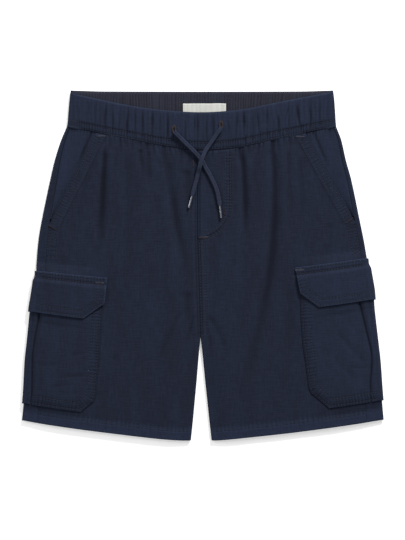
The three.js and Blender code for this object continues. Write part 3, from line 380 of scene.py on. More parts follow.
@dataclass(frozen=True)
class Leg:
    """One leg's pattern lines and the heights that its solids have.

    Attributes:
        name: left or right.
        sign: -1 on the left and 1 on the right.
        side: The fold down its side.
        inner: Centre seam and inseam.
        hem: The hem's edge.
        seam_inset: How far the side seam lies inside the fold.
        rows_even: Share of the length below which rows follow the hem.
        mouth_top, mouth_end: Ends of the slanted pocket's mouth.
        pocket_top: Where the cargo pocket starts, under its flap.
        pocket_bottom, flap_top, flap_bottom: Rows, as shares of the leg's length.
        pocket_inner, flap_inner: Their inner edges.
        pleat: How far the pocket's pleat lies inside the fold.
    """

    name: str
    sign: int
    side: Marks
    inner: Marks
    hem: Marks
    seam_inset: Marks
    rows_even: float
    mouth_top: tuple[float, float]
    mouth_end: tuple[float, float]
    pocket_top: float
    pocket_bottom: float
    pocket_inner: Marks
    pleat: Marks
    flap_top: float
    flap_bottom: float
    flap_inner: Marks

    def side_seam(self, y: Array) -> Array:
        """The side seam's x."""
        return self.side(y) - self.sign * self.seam_inset(y)

    def mouth_line(self, y: Array) -> Array:
        """The slanted pocket's edge."""
        (top_x, top_y), (end_x, end_y) = self.mouth_top, self.mouth_end
        return lerp(end_x, top_x, (y - end_y) / (top_y - end_y))

    def front_edge(self, y: Array) -> Array:
        """The front's outer edge: the pocket's mouth, then the side seam."""
        return np.where(y > self.mouth_end[1], self.mouth_line(y), self.side_seam(y))

    def line(self, far: float) -> Line:
        """The line that runs a distance inside the side fold."""
        return lambda y: self.side(y) - self.sign * far

    def inset(self, x: Array, y: Array) -> Array:
        """Distance inside the side fold."""
        return (self.side(y) - x) * self.sign

    def _tilt(self, x: Array, v: Array) -> Array:
        """How far a row is off level, as the hem is."""
        return (self.hem(x) - self.hem(self.sign * HEM_CORNER)) * ease(v, 0, self.rows_even)

    def _length(self) -> float:
        """Length of the side from the waist seam to the hem."""
        return WAIST_SIDE_Y - SEAM_GAP - float(self.hem(self.sign * HEM_CORNER))

    def back_y(self, x: Array, v: Array) -> Array:
        """Height up the garment of row v at x."""
        return WAIST_SIDE_Y - SEAM_GAP - self._length() * v + self._tilt(x, v)

    def front_y(self, x: Array, v: Array) -> Array:
        """The same for the front's rows, which dip with the waist seam."""
        return self.back_y(x, v) - (WAIST_SIDE_Y - seam_line(x)) * (1 - ease(v, 0, DIP_END))

    def row_of(self, x: Array, y: Array) -> Array:
        """Finds the row that a place lies on.

        Args:
            x: Places across.
            y: Places along.

        Returns:
            Their rows.
        """
        top, length = WAIST_SIDE_Y - SEAM_GAP, self._length()
        v = (top - y) / length
        for _ in range(ROUNDS):
            v = (top - y + self._tilt(x, v)) / length
        return v

    def meet(self, line: Line, v: Array, row: Surface) -> tuple[Array, Array]:
        """Finds where a line down the leg crosses rows.

        Args:
            line: The line's x at a height y.
            v: Rows.
            row: Height y of a row at x.

        Returns:
            x and y there.
        """
        x = line(np.zeros_like(v))
        y = row(x, v)
        for _ in range(ROUNDS):
            y = row(x, v)
            x = line(y)
        return x, y

    def column(self, line: Line, v: Array, surface: Surface) -> Array:
        """Points on a surface where a line down the leg crosses its rows."""
        x, y = self.meet(line, v, self.back_y)
        return points(x, y, surface(x, y))

    def _covered(self, v: Array) -> Array:
        """How many of the pocket and flap lie over a row."""
        pocket = between(v, self.flap_top, self.pocket_bottom, ROW_RAMP)
        return pocket + between(v, self.flap_top, self.flap_bottom, ROW_RAMP)

    def bed(self, inset: Array, v: Array) -> Array:
        """Height of the leg's underside, over the back halves of its pocket and flap."""
        return LAYER * self._covered(v) * np.clip((58 - inset) / 12, 0, 1)

    def swell(self, x: Array, y: Array) -> Array:
        """How far the pocket and flap beneath the leg raise its front."""
        ramp = np.clip((self.inset(x, y) - 34) / 46, 0, 1)
        return LAYER * self._covered(self.row_of(x, y)) * (0.5 + 0.5 * np.cos(math.pi * ramp))

    def front(self, x: Array, y: Array) -> Array:
        """Reads the height of the front's outside as its solid has it.

        Args:
            x: Places across.
            y: Places along.

        Returns:
            The heights.
        """
        inset = np.maximum(0, self.inset(x, y) - EDGE_RADIUS)
        inseam = self.from_inner(x, y)
        at_side = 1 - np.exp(-((inset / 16) ** 2))
        at_inseam = 1 - ease(CROTCH_Y + 40 - y, 0, 48) * np.exp(-((inseam / 12) ** 2))
        rise = LOFT * (1 - 0.35 * ease(self.row_of(x, y), 0.75, 1))
        folds = sum(fold.depth(x, y) for fold in MAIN_FOLDS)
        return self.swell(x, y) + 2 * EDGE_RADIUS + (rise - folds) * at_side * at_inseam

    def from_inner(self, x: Array, y: Array) -> Array:
        """Distance from where the inner edge starts to turn in."""
        return np.maximum(0, (x - self.inner(y)) * self.sign - EDGE_RADIUS)

    def on_skin(self, x: Array, y: Array) -> Array:
        """Share by which fine relief stands: none where a pocket or flap covers the cloth.

        Args:
            x: Places across.
            y: Places along.

        Returns:
            The shares.
        """
        v = self.row_of(x, y)
        over = between(v, self.flap_top, self.pocket_bottom, ROW_RAMP)
        inner = np.where(v < self.flap_bottom, self.flap_inner(y), self.pocket_inner(y))
        return 1 - over * ease((x - inner) * self.sign, -3, 1)

    def inner_curl(self, v: Array, row: Surface, turn: float, surface: Surface, up: int) -> tuple[Array, Array]:
        """Turns the cloth in along the centre seam and the inseam.

        Args:
            v: Rows.
            row: Height y of a row at x.
            turn: How far it turns in at the centre seam, in radians.
            surface: Height of the cloth.
            up: 1 on the front and -1 on the back.

        Returns:
            x where it starts to turn, and the points from there on.
        """
        inner_x, inner_y = self.meet(self.inner, v, row)
        sweep = lerp(turn, FULL_CURL, ease(CROTCH_Y + 6 - inner_y, 0, 20))
        start = inner_x + self.sign * EDGE_RADIUS * np.sin(sweep)
        y = row(start, v)
        middle = surface(start, y) - up * EDGE_RADIUS
        angle = sweep[:, None] * np.linspace(0, 1, 7)
        return start, points(start[:, None] - self.sign * EDGE_RADIUS * np.sin(angle), y[:, None],
                             middle[:, None] + up * EDGE_RADIUS * np.cos(angle))

    def round_side(self, turns: Array, v: Array, off: Array | float) -> list[Array]:
        """Columns of points round the side fold.

        Args:
            turns: Their angles above level.
            v: Rows.
            off: How far off the leg they are.

        Returns:
            A column for each angle.
        """
        centre, y = self.meet(self.line(EDGE_RADIUS), v, self.back_y)
        height = self.bed(np.full_like(v, EDGE_RADIUS), v) + EDGE_RADIUS
        radius = EDGE_RADIUS + off
        return [points(centre + self.sign * radius * math.cos(turn), y, height + radius * math.sin(turn))
                for turn in turns]

    def wrap(self, v: Array, off: Array | float, far: float) -> list[Array]:
        """Columns of a pocket or flap that goes on round the side fold and under the leg.

        Args:
            v: Rows.
            off: How far off the leg they are.
            far: How far they go under it.

        Returns:
            The columns in order.
        """
        under = [self.column(self.line(inset), v, lambda x, y: self.bed(self.inset(x, y), v) - off)
                 for inset in np.linspace(EDGE_RADIUS + 2.5, far, 17)]
        return self.round_side(np.linspace(HALF_TURN, -HALF_TURN, FOLD_COLUMNS)[1:], v, off) + under


LEFT_LEG = Leg(
    name="left",
    sign=-1,
    side=Marks(((-163, -190.2), (-145, -188.4), (-131, -187.3), (-99.4, -185.6), (-78.4, -183.3), (-45, -179.9),
                (-26, -176.8), (-15, -175.4), (-8, -174.9), (1.4, -175.0), (26.6, -172.8), (47.6, -169.3),
                (89.6, -160.5), (110.6, -155.6), (131.6, -149.0), (145.6, -143.0))),
    inner=Marks(((-184, -12.6), (-162.4, -10.3), (-120.4, -6.4), (-88.9, -3.8), (-75.8, -2.4), (26, -5.6),
                 (146, -5.6)), rounded=False),
    hem=Marks(((-190.2, -162.4), (-171, -166.0), (-129, -172.2), (-87, -177.5), (-45, -182.3), (-24, -183.8),
               (-12, -183.9))),
    seam_inset=Marks(((-163, 16.5), (-45, 11.0), (43.4, 8.8), (90, 6.8), (125, 4.4), (145.6, 3.0))),
    rows_even=0.75,
    mouth_top=(-112.2, 139.4),
    mouth_end=(-161.2, 43.4),
    pocket_top=-24,
    pocket_bottom=0.9403,
    pocket_inner=Marks(((-154.5, -129.0), (-142.4, -114.4), (-136.1, -112.8), (-109.8, -110.2), (-78.3, -108.0),
                        (-41.6, -105.4), (0, -103.0)), rounded=False),
    pleat=Marks(((-155, 8.0), (-131, 7.6), (-81, 6.4), (-55, 9.0), (0, 13.0))),
    flap_top=0.484,
    flap_bottom=0.6225,
    flap_inner=Marks(((-55.2, -124.8), (-40.0, -103.3), (-13.2, -100.6)), rounded=False),
)
RIGHT_LEG = Leg(
    name="right",
    sign=1,
    side=Marks(((-163, 190.2), (-145, 188.6), (-131, 187.4), (-99.4, 185.1), (-78.4, 182.7), (-57, 180.2),
                (-45, 178.9), (-26, 177.4), (-6.9, 174.2), (1.4, 172.9), (8.3, 172.2), (26.6, 169.2), (47.6, 164.9),
                (89.6, 156.2), (110.6, 150.4), (131.6, 145.6), (145.6, 140.3))),
    inner=Marks(((-184, 9.2), (-162.4, 6.7), (-120.4, 2.3), (-88.9, -0.8), (-75.8, -2.4), (26, -5.6), (146, -5.6)),
                rounded=False),
    hem=Marks(((8, -183.9), (20, -183.5), (49.5, -180.6), (91.5, -176.0), (133.5, -170.6), (165, -166.0),
               (190.2, -161.8))),
    seam_inset=Marks(((-163, 19.0), (-45, 9.5), (10, 5.6), (46.5, 5.4), (90, 4.4), (145.6, 3.0))),
    rows_even=0.5,
    mouth_top=(106.2, 141.4),
    mouth_end=(159.2, 46.5),
    pocket_top=-12,
    pocket_bottom=0.932,
    pocket_inner=Marks(((-149.7, 132.5), (-134, 113.6), (-128.7, 111.5), (-104.6, 108.3), (-83.6, 105.2),
                        (-57, 103.2), (0, 102.0)), rounded=False),
    pleat=Marks(((-150, 11.6), (-126.2, 11.2), (-94.7, 7.6), (-69.5, 10.0), (-40.6, 13.6), (0, 17.0))),
    flap_top=0.439,
    flap_bottom=0.582,
    flap_inner=Marks(((-44.2, 122.5), (-29.5, 102.6), (-25.8, 101.5), (-1.7, 96.8)), rounded=False),
)
LEGS = (LEFT_LEG, RIGHT_LEG)


class Graph:
    """Adds nodes to a material's or group's tree and links them."""

    def __init__(self, tree: bpy.types.NodeTree) -> None:
        """Starts on an existing tree."""
        self.tree = tree

    def feed(self, node: bpy.types.Node, inputs: dict) -> None:
        """Sets a node's inputs to values or links them to sockets."""
        for key, value in inputs.items():
            if isinstance(value, bpy.types.NodeSocket):
                self.tree.links.new(value, node.inputs[key])
            else:
                node.inputs[key].default_value = value

    def node(self, kind: str, inputs: dict | None = None, **settings: object) -> bpy.types.Node:
        """Adds a node.

        Args:
            kind: Its type.
            inputs: Values or sockets for its inputs, by name or number.
            **settings: Its own settings.

        Returns:
            The node.
        """
        made = self.tree.nodes.new(kind)
        for key, value in settings.items():
            setattr(made, key, value)
        self.feed(made, inputs or {})
        return made

    def sum(self, operation: str, a: object, b: object = 0.0, clamp: bool = False) -> bpy.types.NodeSocket:
        """Adds a Math node and gives its output."""
        return self.node("ShaderNodeMath", {0: a, 1: b}, operation=operation, use_clamp=clamp).outputs[0]

    def total(self, *parts: tuple[object, float]) -> bpy.types.NodeSocket:
        """Adds up sockets, each times its weight, and clamps the last sum.

        Args:
            *parts: Pairs of socket and weight.

        Returns:
            The sum.
        """
        weighed = [self.sum("MULTIPLY", socket, weight) for socket, weight in parts]
        result = weighed[0]
        for i, socket in enumerate(weighed[1:], 2):
            result = self.sum("ADD", result, socket, clamp=i == len(weighed))
        return result

    def noise(self, vector: object, scale: float, detail: float = 2.0) -> bpy.types.NodeSocket:
        """Adds a Noise Texture and gives its value."""
        return self.node("ShaderNodeTexNoise", {"Vector": vector, "Scale": scale, "Detail": detail}).outputs[0]

    def stretch(self, vector: object, scale: tuple[float, float, float]) -> bpy.types.NodeSocket:
        """Scales a vector."""
        return self.node("ShaderNodeVectorMath", {0: vector, 1: scale}, operation="MULTIPLY").outputs[0]

    def mix(self, share: object, a: object, b: object, blend: str = "MIX") -> bpy.types.NodeSocket:
        """Mixes two colours and gives the result."""
        opaque = [(*c, 1.0) if isinstance(c, tuple) else c for c in (a, b)]
        return self.node("ShaderNodeMix", {0: share, 6: opaque[0], 7: opaque[1]}, data_type="RGBA",
                         blend_type=blend).outputs[2]

    def span(self, value: object, low: float, high: float) -> bpy.types.NodeSocket:
        """Stretches low to high onto 0 to 1, clamped."""
        return self.node("ShaderNodeMapRange", {0: value, 1: low, 2: high, 3: 0.0, 4: 1.0}, clamp=True).outputs[0]


class Effects:
    """The shader node groups that more than one finish uses."""

    def __init__(self) -> None:
        """Builds each group once."""
        self.weave = self._group("plain_weave", {"Grain": VECTOR, "Yarns": VALUE, "Slub": VALUE}, self._weave)
        self.wear = self._group("edge_wear_and_crest_highlight", {"Vector": VECTOR, "Edge": VALUE}, self._wear_and_crest_highlight)
        self.mottle = self._group("uneven_dye", {"Vector": VECTOR}, self._mottle)

    @staticmethod
    def _group(name: str, inputs: dict[str, str], work: Callable[[Graph, object], dict]) -> bpy.types.NodeTree:
        """Builds a group with named sockets.

        Args:
            name: The group's name.
            inputs: Socket types by name.
            work: Adds the nodes and gives what the group puts out, by name.

        Returns:
            The group.
        """
        tree = bpy.data.node_groups.new(name, "ShaderNodeTree")
        for key, kind in inputs.items():
            tree.interface.new_socket(name=key, in_out="INPUT", socket_type=kind)
        graph = Graph(tree)
        result = work(graph, tree.nodes.new("NodeGroupInput").outputs)
        for key in result:
            tree.interface.new_socket(name=key, in_out="OUTPUT", socket_type=VALUE)
        graph.feed(tree.nodes.new("NodeGroupOutput"), result)
        return tree

    @staticmethod
    def _weave(graph: Graph, given: object) -> dict:
        """Warp and weft over each other, with uneven yarns.

        Args:
            graph: The group's graph.
            given: The group's inputs.

        Returns:
            The weave's height, and the yarns' tone.
        """
        axes = graph.node("ShaderNodeSeparateXYZ", {0: given["Grain"]})
        waves = [graph.sum("SINE", graph.sum("MULTIPLY", graph.sum("MULTIPLY", axes.outputs[i], given["Yarns"]), math.pi))
                 for i in (0, 1)]
        over = graph.sum("MULTIPLY", *waves)
        slubs = [graph.noise(graph.stretch(given["Grain"], run), SLUB_SCALE)
                 for run in ((1.0, 0.12, 1.0), (0.12, 1.0, 1.0))]
        slub = graph.sum("SUBTRACT", graph.sum("ADD", *slubs), 1.0)
        uneven = graph.sum("MULTIPLY", slub, given["Slub"])
        height = graph.sum("ADD", graph.sum("MULTIPLY", over, 0.35), graph.sum("ADD", uneven, 0.5))
        return {"Height": height, "Tone": graph.sum("ADD", uneven, 0.5, clamp=True)}

    @staticmethod
    def _wear_and_crest_highlight(graph: Graph, given: object) -> dict:
        """Washed edges, and the painted highlight on crests, broken up where the cloth is rough."""
        grit = graph.span(graph.noise(given["Vector"], 420.0, 3.0), 0.25, 0.75)
        broken = graph.sum("ADD", graph.sum("MULTIPLY", grit, 0.7), 0.45)
        return {"Mask": graph.sum("MULTIPLY", given["Edge"], broken, clamp=True)}

    @staticmethod
    def _mottle(graph: Graph, given: object) -> dict:
        """Cloudy unevenness of dye, in patches and in specks."""
        drawn = graph.stretch(given["Vector"], (1.0, 0.22, 1.0))
        return {"Patches": graph.span(graph.noise(drawn, 85.0, 3.0), 0.25, 0.75),
                "Specks": graph.span(graph.noise(given["Vector"], 620.0, 3.0), 0.28, 0.72)}


class Surface3D:
    """A material being made: its graph, its Principled shader and the effects at its place on the piece."""

    def __init__(self, name: str, effects: Effects) -> None:
        """Starts a material with object coordinates and uneven dye."""
        self.material = bpy.data.materials.new(name)
        self.material.use_nodes = True
        self.graph = Graph(self.material.node_tree)
        self.effects = effects
        self.place = self.graph.node("ShaderNodeTexCoord").outputs["Object"]
        self.dye = self.put(effects.mottle, {"Vector": self.place})

    def put(self, group: bpy.types.NodeTree, inputs: dict) -> bpy.types.NodeOutputs:
        """Puts a group in and gives its outputs."""
        return self.graph.node("ShaderNodeGroup", inputs, node_tree=group).outputs

    def weave(self, yarns: float, slub: float) -> bpy.types.NodeOutputs:
        """Puts the weave in, on the piece's grain."""
        grain = self.graph.node("ShaderNodeUVMap", uv_map="grain").outputs[0]
        return self.put(self.effects.weave, {"Grain": grain, "Yarns": yarns, "Slub": slub})

    def finish(self, sockets: dict, height: object = None, distance: float = 0.0,
               strength: float = 1.0) -> bpy.types.Material:
        """Sets the shader's sockets and its bump.

        Args:
            sockets: Values or sockets by name.
            height: What the bump follows, if it has one.
            distance: The bump's height in metres.
            strength: The bump's strength.

        Returns:
            The material.
        """
        if height is not None:
            bump = self.graph.node("ShaderNodeBump", {"Height": height, "Distance": distance, "Strength": strength})
            sockets = {**sockets, "Normal": bump.outputs[0]}
        self.graph.feed(self.material.node_tree.nodes["Principled BSDF"], sockets)
        return self.material


@dataclass(frozen=True)
class ClothFinish:
    """Woven, piece-dyed cloth that has been washed, with painted shade in its creases and painted highlight on its
    crests.

    Attributes:
        name: The material's name.
        deep, pale: The dye's darkest and lightest linear colours.
        worn: Colour that edges wash to, and that crests are lightened towards as painted highlight.
        crease_shade_colour: Painted shade: the colour that the bottom of creases is darkened to.
        cast: Tint of the dye's redder patches.
        yarns: Yarns to a metre.
        relief: Height of the weave's bump in metres.
        slub: How uneven the yarns are.
    """

    name: str
    deep: Colour
    pale: Colour
    worn: Colour
    crease_shade_colour: Colour
    cast: Colour = (1.08, 0.97, 0.95)
    yarns: float = 1700.0
    relief: float = 0.00012
    slub: float = 2.1

    def material(self, effects: Effects) -> bpy.types.Material:
        """Builds the material.

        Args:
            effects: The shared node groups.

        Returns:
            The material.
        """
        made = Surface3D(self.name, effects)
        graph, dye = made.graph, made.dye
        # The edge attribute holds wear and painted highlight on crests; the other attribute holds painted shade in
        # creases.
        edge, crease_shade = (graph.node("ShaderNodeAttribute", attribute_name=key).outputs["Fac"]
                        for key in ("edge", "crease_shade"))
        weave = made.weave(self.yarns, self.slub)
        wear = made.put(effects.wear, {"Vector": made.place, "Edge": edge})
        tone = graph.total((dye["Patches"], 0.36), (dye["Specks"], 0.24), (weave["Tone"], 0.40))
        dyed = graph.mix(tone, self.deep, self.pale)
        dyed = graph.mix(graph.sum("SUBTRACT", 1.0, dye["Patches"]), dyed, self.cast, "MULTIPLY")
        # Washed edges lighten the cloth, and crests are lightened too as painted highlight.
        colour = graph.mix(wear["Mask"], dyed, self.worn)
        # Painted shade: the cloth is darkened towards a shade colour at the bottom of creases.
        colour = graph.mix(graph.sum("MULTIPLY", crease_shade, 0.85), colour, self.crease_shade_colour)
        return made.finish({"Base Color": colour, "Roughness": 0.95, "Sheen Weight": 0.01, "Specular IOR Level": 0.05},
                           weave["Height"], self.relief, 0.7)


@dataclass(frozen=True)
class ThreadFinish:
    """Twisted sewing thread, from its darkest to its lightest colour."""

    name: str
    deep: Colour
    pale: Colour

    def material(self, effects: Effects) -> bpy.types.Material:
        """Builds the material from the shared node groups."""
        made = Surface3D(self.name, effects)
        colour = made.graph.mix(made.dye["Specks"], self.deep, self.pale)
        return made.finish({"Base Color": colour, "Roughness": 0.75, "Specular IOR Level": 0.25},
                           made.graph.noise(made.place, 3800.0, 1.0), 0.00005, 0.5)


@dataclass(frozen=True)
class BraidFinish(ThreadFinish):
    """Soft braided cord: light and dark strands lie over each other in a herringbone."""

    def material(self, effects: Effects) -> bpy.types.Material:
        """Builds the material from the shared node groups."""
        made = Surface3D(self.name, effects)
        strands = made.weave(2400.0, 0.7)["Height"]
        tone = made.graph.sum("MULTIPLY", made.graph.sum("ADD", strands, made.dye["Specks"]), 0.5, clamp=True)
        return made.finish({"Base Color": made.graph.mix(tone, self.deep, self.pale), "Roughness": 0.85,
                            "Specular IOR Level": 0.1}, strands, 0.0001, 0.6)


@dataclass(frozen=True)
class SteelFinish:
    """Plated steel with fine scuffs."""

    name: str
    bright: Colour
    scuffed: Colour
    rough: tuple[float, float]

    def material(self, effects: Effects) -> bpy.types.Material:
        """Builds the material from the shared node groups."""
        made = Surface3D(self.name, effects)
        specks, graph = made.dye["Specks"], made.graph
        rough = graph.node("ShaderNodeMapRange", {0: specks, 3: self.rough[0], 4: self.rough[1]}).outputs[0]
        return made.finish({"Base Color": graph.mix(specks, self.bright, self.scuffed), "Roughness": rough,
                            "Metallic": 1.0})


class Finishes:
    """Every finish of the shorts, built once."""

    def __init__(self) -> None:
        """Builds the materials."""
        effects = Effects()
        cotton = ClothFinish("navy_cotton", (0.0088, 0.0112, 0.0205), (0.0156, 0.0212, 0.0392),
                             (0.0225, 0.0325, 0.0625), (0.0060, 0.0068, 0.0115))
        inside = ClothFinish("navy_cotton_inside", (0.0145, 0.0158, 0.0235), (0.0240, 0.0268, 0.0405),
                             (0.036, 0.038, 0.056), (0.0090, 0.0092, 0.0130))
        tape = ClothFinish("label_tape", (0.42, 0.42, 0.40), (0.54, 0.54, 0.51), (0.57, 0.57, 0.54),
                           (0.36, 0.36, 0.34), (1.0, 0.99, 0.98), yarns=2600.0, relief=0.00006, slub=0.9)
        thread = ThreadFinish("navy_thread", (0.013, 0.016, 0.027), (0.023, 0.027, 0.045))
        rust = ThreadFinish("rust_thread", (0.015, 0.012, 0.015), (0.030, 0.022, 0.026))
        light = ThreadFinish("light_thread", (0.028, 0.029, 0.042), (0.050, 0.052, 0.072))
        cord = BraidFinish("navy_braid", (0.010, 0.013, 0.024), (0.027, 0.034, 0.062))
        steel = SteelFinish("aglet_steel", (0.34, 0.36, 0.40), (0.20, 0.21, 0.24), (0.16, 0.28))
        (self.cotton, self.inside, self.tape, self.thread, self.rust, self.light, self.cord, self.steel) = (
            finish.material(effects) for finish in (cotton, inside, tape, thread, rust, light, cord, steel))


def dress(piece: bpy.types.Object, material: bpy.types.Material, slot: Slot, *nodes: str) -> bpy.types.Object:
    """Gives a finished piece its material and body, and hides the solids that it stands for."""
    piece.data.materials.clear()
    piece.data.materials.append(material)
    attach(piece, BODY)
    if nodes:
        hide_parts(*nodes)
    return piece


def mesh_object(name: str, points: Array, faces: Sequence[Sequence[int]]) -> bpy.types.Object:
    """Makes an object from points in millimetres.

    Args:
        name: The piece's name.
        points: Its vertices.
        faces: Its faces.

    Returns:
        The smooth-shaded object, at the origin.
    """
    mesh = bpy.data.meshes.new(name)
    mesh.from_pydata(np.asarray(points) * MM, [], faces)
    mesh.shade_smooth()
    made = bpy.data.objects.new(name, mesh)
    bpy.context.collection.objects.link(made)
    return made


def blurred(field_values: Array, reach: int, axis: int) -> Array:
    """Running mean along an axis, over reach cells to each side."""
    reach = max(1, min(reach, field_values.shape[axis] // 2 - 1))
    pad = [(0, 0), (0, 0)]
    pad[axis] = (reach + 1, reach)
    total = np.cumsum(np.pad(field_values, pad, mode="edge"), axis=axis)
    span = 2 * reach + 1
    size = field_values.shape[axis]
    high = np.take(total, np.arange(span, span + size), axis=axis)
    return (high - np.take(total, np.arange(size), axis=axis)) / span


def sunk(grid: Array, reach: float) -> Array:
    """How far each point lies below its surroundings.

    Args:
        grid: Rows and columns of points.
        reach: How far the surroundings go, in millimetres.

    Returns:
        Depths in millimetres, negative on crests.
    """
    height = grid[..., 2]
    around = height
    for axis in (0, 1):
        step = float(np.median(np.linalg.norm(np.diff(grid, axis=axis), axis=2)))
        for _ in range(2):
            around = blurred(around, int(round(reach / step / 2)), axis)
    return around - height


def quads(number: Array) -> Array:
    """Faces between the neighbours of a numbered grid."""
    return flat_list(np.stack([number[:-1, :-1], number[:-1, 1:], number[1:, 1:], number[1:, :-1]], axis=-1))


def flat_list(grid: Array) -> Array:
    """A grid's entries one after another."""
    return grid.reshape(-1, grid.shape[-1])


def paint(made: bpy.types.Object, grain: Array, edge: Array | None = None, crease_shade: Array | None = None) -> None:
    """Writes a mesh's grain as a UV map, and its wear, painted highlight and painted crease shade as attributes.

    Args:
        made: The piece.
        grain: Place of each vertex in the flat cloth, in millimetres.
        edge: Its wear, with painted highlight on crests where given, 0 to 1.
        crease_shade: Painted shade, by how deep it lies in a crease, 0 to 1.
    """
    mesh = made.data
    vertex = np.empty(len(mesh.loops), dtype=np.int32)
    mesh.loops.foreach_get("vertex_index", vertex)
    mesh.uv_layers.new(name="grain").data.foreach_set("uv", (grain * MM)[vertex].astype(np.float32).ravel())
    for name, values in (("edge", edge), ("crease_shade", crease_shade)):
        if values is not None:
            mesh.attributes.new(name, "FLOAT", "POINT").data.foreach_set("value", values.astype(np.float32))


@dataclass
class Shell:
    """A closed thin wall of cloth, from the grid of its outside.

    Attributes:
        name: The piece's name.
        outside: Rows and columns of points.
        thick: The cloth's thickness.
        edge: Wear of each point, 0 to 1.
        grain: Place of each point in the flat cloth, across and along.
        worn_rims: Which borders show wear: first row, last row, first column, last column.
        coarse: Every how many of the outside's rows and columns the inside has one.
        beneath: How far what lies beneath raises each point, which makes no crease and gets no painted crease shade.
    """

    name: str
    outside: Array
    thick: float
    edge: Array
    grain: Array
    worn_rims: tuple[bool, bool, bool, bool] = (True, True, True, True)
    coarse: int = 2
    beneath: Array | float = 0.0

    def area(self, fullness: float = 1.0) -> float:
        """Area of the cloth in square metres, before it was gathered by the given fullness."""
        a, b = np.diff(self.outside, axis=0)[:, :-1], np.diff(self.outside, axis=1)[:-1]
        return round(fullness * float(np.linalg.norm(np.cross(a, b), axis=2).sum()) * MM * MM, 5)

    def flat(self, fullness: float = 1.0) -> tuple[float, float]:
        """Width and length of the flat cloth in metres: its longest row and its longest column."""
        runs = [float(np.linalg.norm(np.diff(self.outside, axis=axis), axis=2).sum(axis=axis).max()) * MM
                for axis in (1, 0)]
        return round(fullness * runs[0], 3), round(runs[1] + 0.0005, 3)

    def _normals(self) -> Array:
        """Outward directions at the grid's points, up to sign."""
        down, across = np.gradient(self.outside, axis=0), np.gradient(self.outside, axis=1)
        normal = np.cross(across, down)
        return normal / np.maximum(np.linalg.norm(normal, axis=2, keepdims=True), 1e-9)

    def _rim_wear(self) -> Array:
        """Wear along the chosen borders."""
        wear = np.zeros(self.outside.shape[:2])
        for axis in (0, 1):
            steps = np.linalg.norm(np.diff(self.outside, axis=axis), axis=2)
            run = np.cumsum(np.insert(steps, 0, 0, axis=axis), axis=axis)
            total = run.take([-1], axis=axis)
            for border, distance in ((2 * axis, run), (2 * axis + 1, total - run)):
                if self.worn_rims[border]:
                    wear = np.maximum(wear, np.exp(-((distance / 1.25) ** 2)))
        return wear

    def build(self, seen: slice = slice(None), up: int = 1) -> bpy.types.Object:
        """Builds the wall.

        Args:
            seen: The outside's columns that face one way.
            up: 1 where they face up and -1 where they face down.

        Returns:
            The object, with its grain as a UV map, and its wear, painted highlight and painted crease shade as
            attributes.
        """
        normal = self._normals()
        if up * float(normal[:, seen, 2].mean()) < 0:
            normal = -normal
        rows, columns = self.outside.shape[:2]
        number = np.arange(rows * columns).reshape(rows, columns)
        kept = [np.unique(np.append(np.arange(0, count, self.coarse), count - 1)) for count in (rows, columns)]
        inside = (self.outside - normal * self.thick)[np.ix_(*kept)]
        inner = number.size + np.arange(inside.shape[0] * inside.shape[1]).reshape(inside.shape[:2])
        at = np.array([(0, c) for c in range(columns)] + [(r, columns - 1) for r in range(1, rows)]
                      + [(rows - 1, c) for c in range(columns - 2, -1, -1)] + [(r, 0) for r in range(rows - 2, 0, -1)])
        ring, ring_number = self._ring(normal, at), number.size + inner.size + np.arange(len(at))
        outer = number[tuple(at.T)]
        faces = quads(number).tolist() + quads(inner)[:, ::-1].tolist()
        faces += np.stack([np.roll(outer, -1), outer, ring_number, np.roll(ring_number, -1)], axis=1).tolist()
        below = {(int(r), int(c)): int(inner[i, j]) for i, r in enumerate(kept[0]) for j, c in enumerate(kept[1])}
        places = [(int(r), int(c)) for r, c in at]
        corners = [i for i, place in enumerate(places) if place in below]
        for start, stop in zip(corners, corners[1:] + [len(at)]):
            run = [k % len(at) for k in range(start, stop + 1)]
            faces.append([int(ring_number[k]) for k in reversed(run)] + [below[places[run[0]]], below[places[run[-1]]]])
        a, b, d = self.outside[:-1, :-1], self.outside[:-1, 1:], self.outside[1:, :-1]
        if np.sum(np.cross(b - a, d - a) * normal[:-1, :-1]) < 0:
            faces = [face[::-1] for face in faces]
        made = mesh_object(self.name, np.concatenate([flat_list(self.outside), flat_list(inside), ring]), faces)
        self._map(made, at, np.ix_(*kept))
        return made

    def _ring(self, normal: Array, at: Array) -> Array:
        """Places the points half way down the rim, a little outside the borders.

        Args:
            normal: Outward directions.
            at: Row and column of each border point.

        Returns:
            A point for each.
        """
        rows, columns = self.outside.shape[:2]
        rim, rim_normal = self.outside[tuple(at.T)], normal[tuple(at.T)]
        away = rim - self.outside[np.clip(at[:, 0], 1, rows - 2), np.clip(at[:, 1], 1, columns - 2)]
        away -= rim_normal * np.sum(away * rim_normal, axis=1, keepdims=True)
        away /= np.maximum(np.linalg.norm(away, axis=1, keepdims=True), TINY)
        return rim - rim_normal * self.thick * 0.5 + away * self.thick * 0.22

    def _map(self, made: bpy.types.Object, at: Array, kept: tuple) -> None:
        """Writes the grain map, the wear with painted highlight on crests, and the painted shade of creases.

        Args:
            made: The wall.
            at: Row and column of each border point.
            kept: The rows and columns that its inside has.
        """
        creased = self.outside.copy()
        creased[..., 2] -= self.beneath
        broad, close = sunk(creased, 9.0), sunk(creased, 2.2)
        level = np.clip((np.abs(self._normals()[..., 2]) - 0.5) / 0.3, 0, 1)
        # Painted shade: points that lie below their surroundings are darkened, where the cloth faces up.
        crease_shade = np.clip(broad / 0.9, 0, 1) * 0.75 + np.clip(close / 0.16, 0, 1) * 0.45
        crease_shade = np.clip(crease_shade, 0, 1) * level
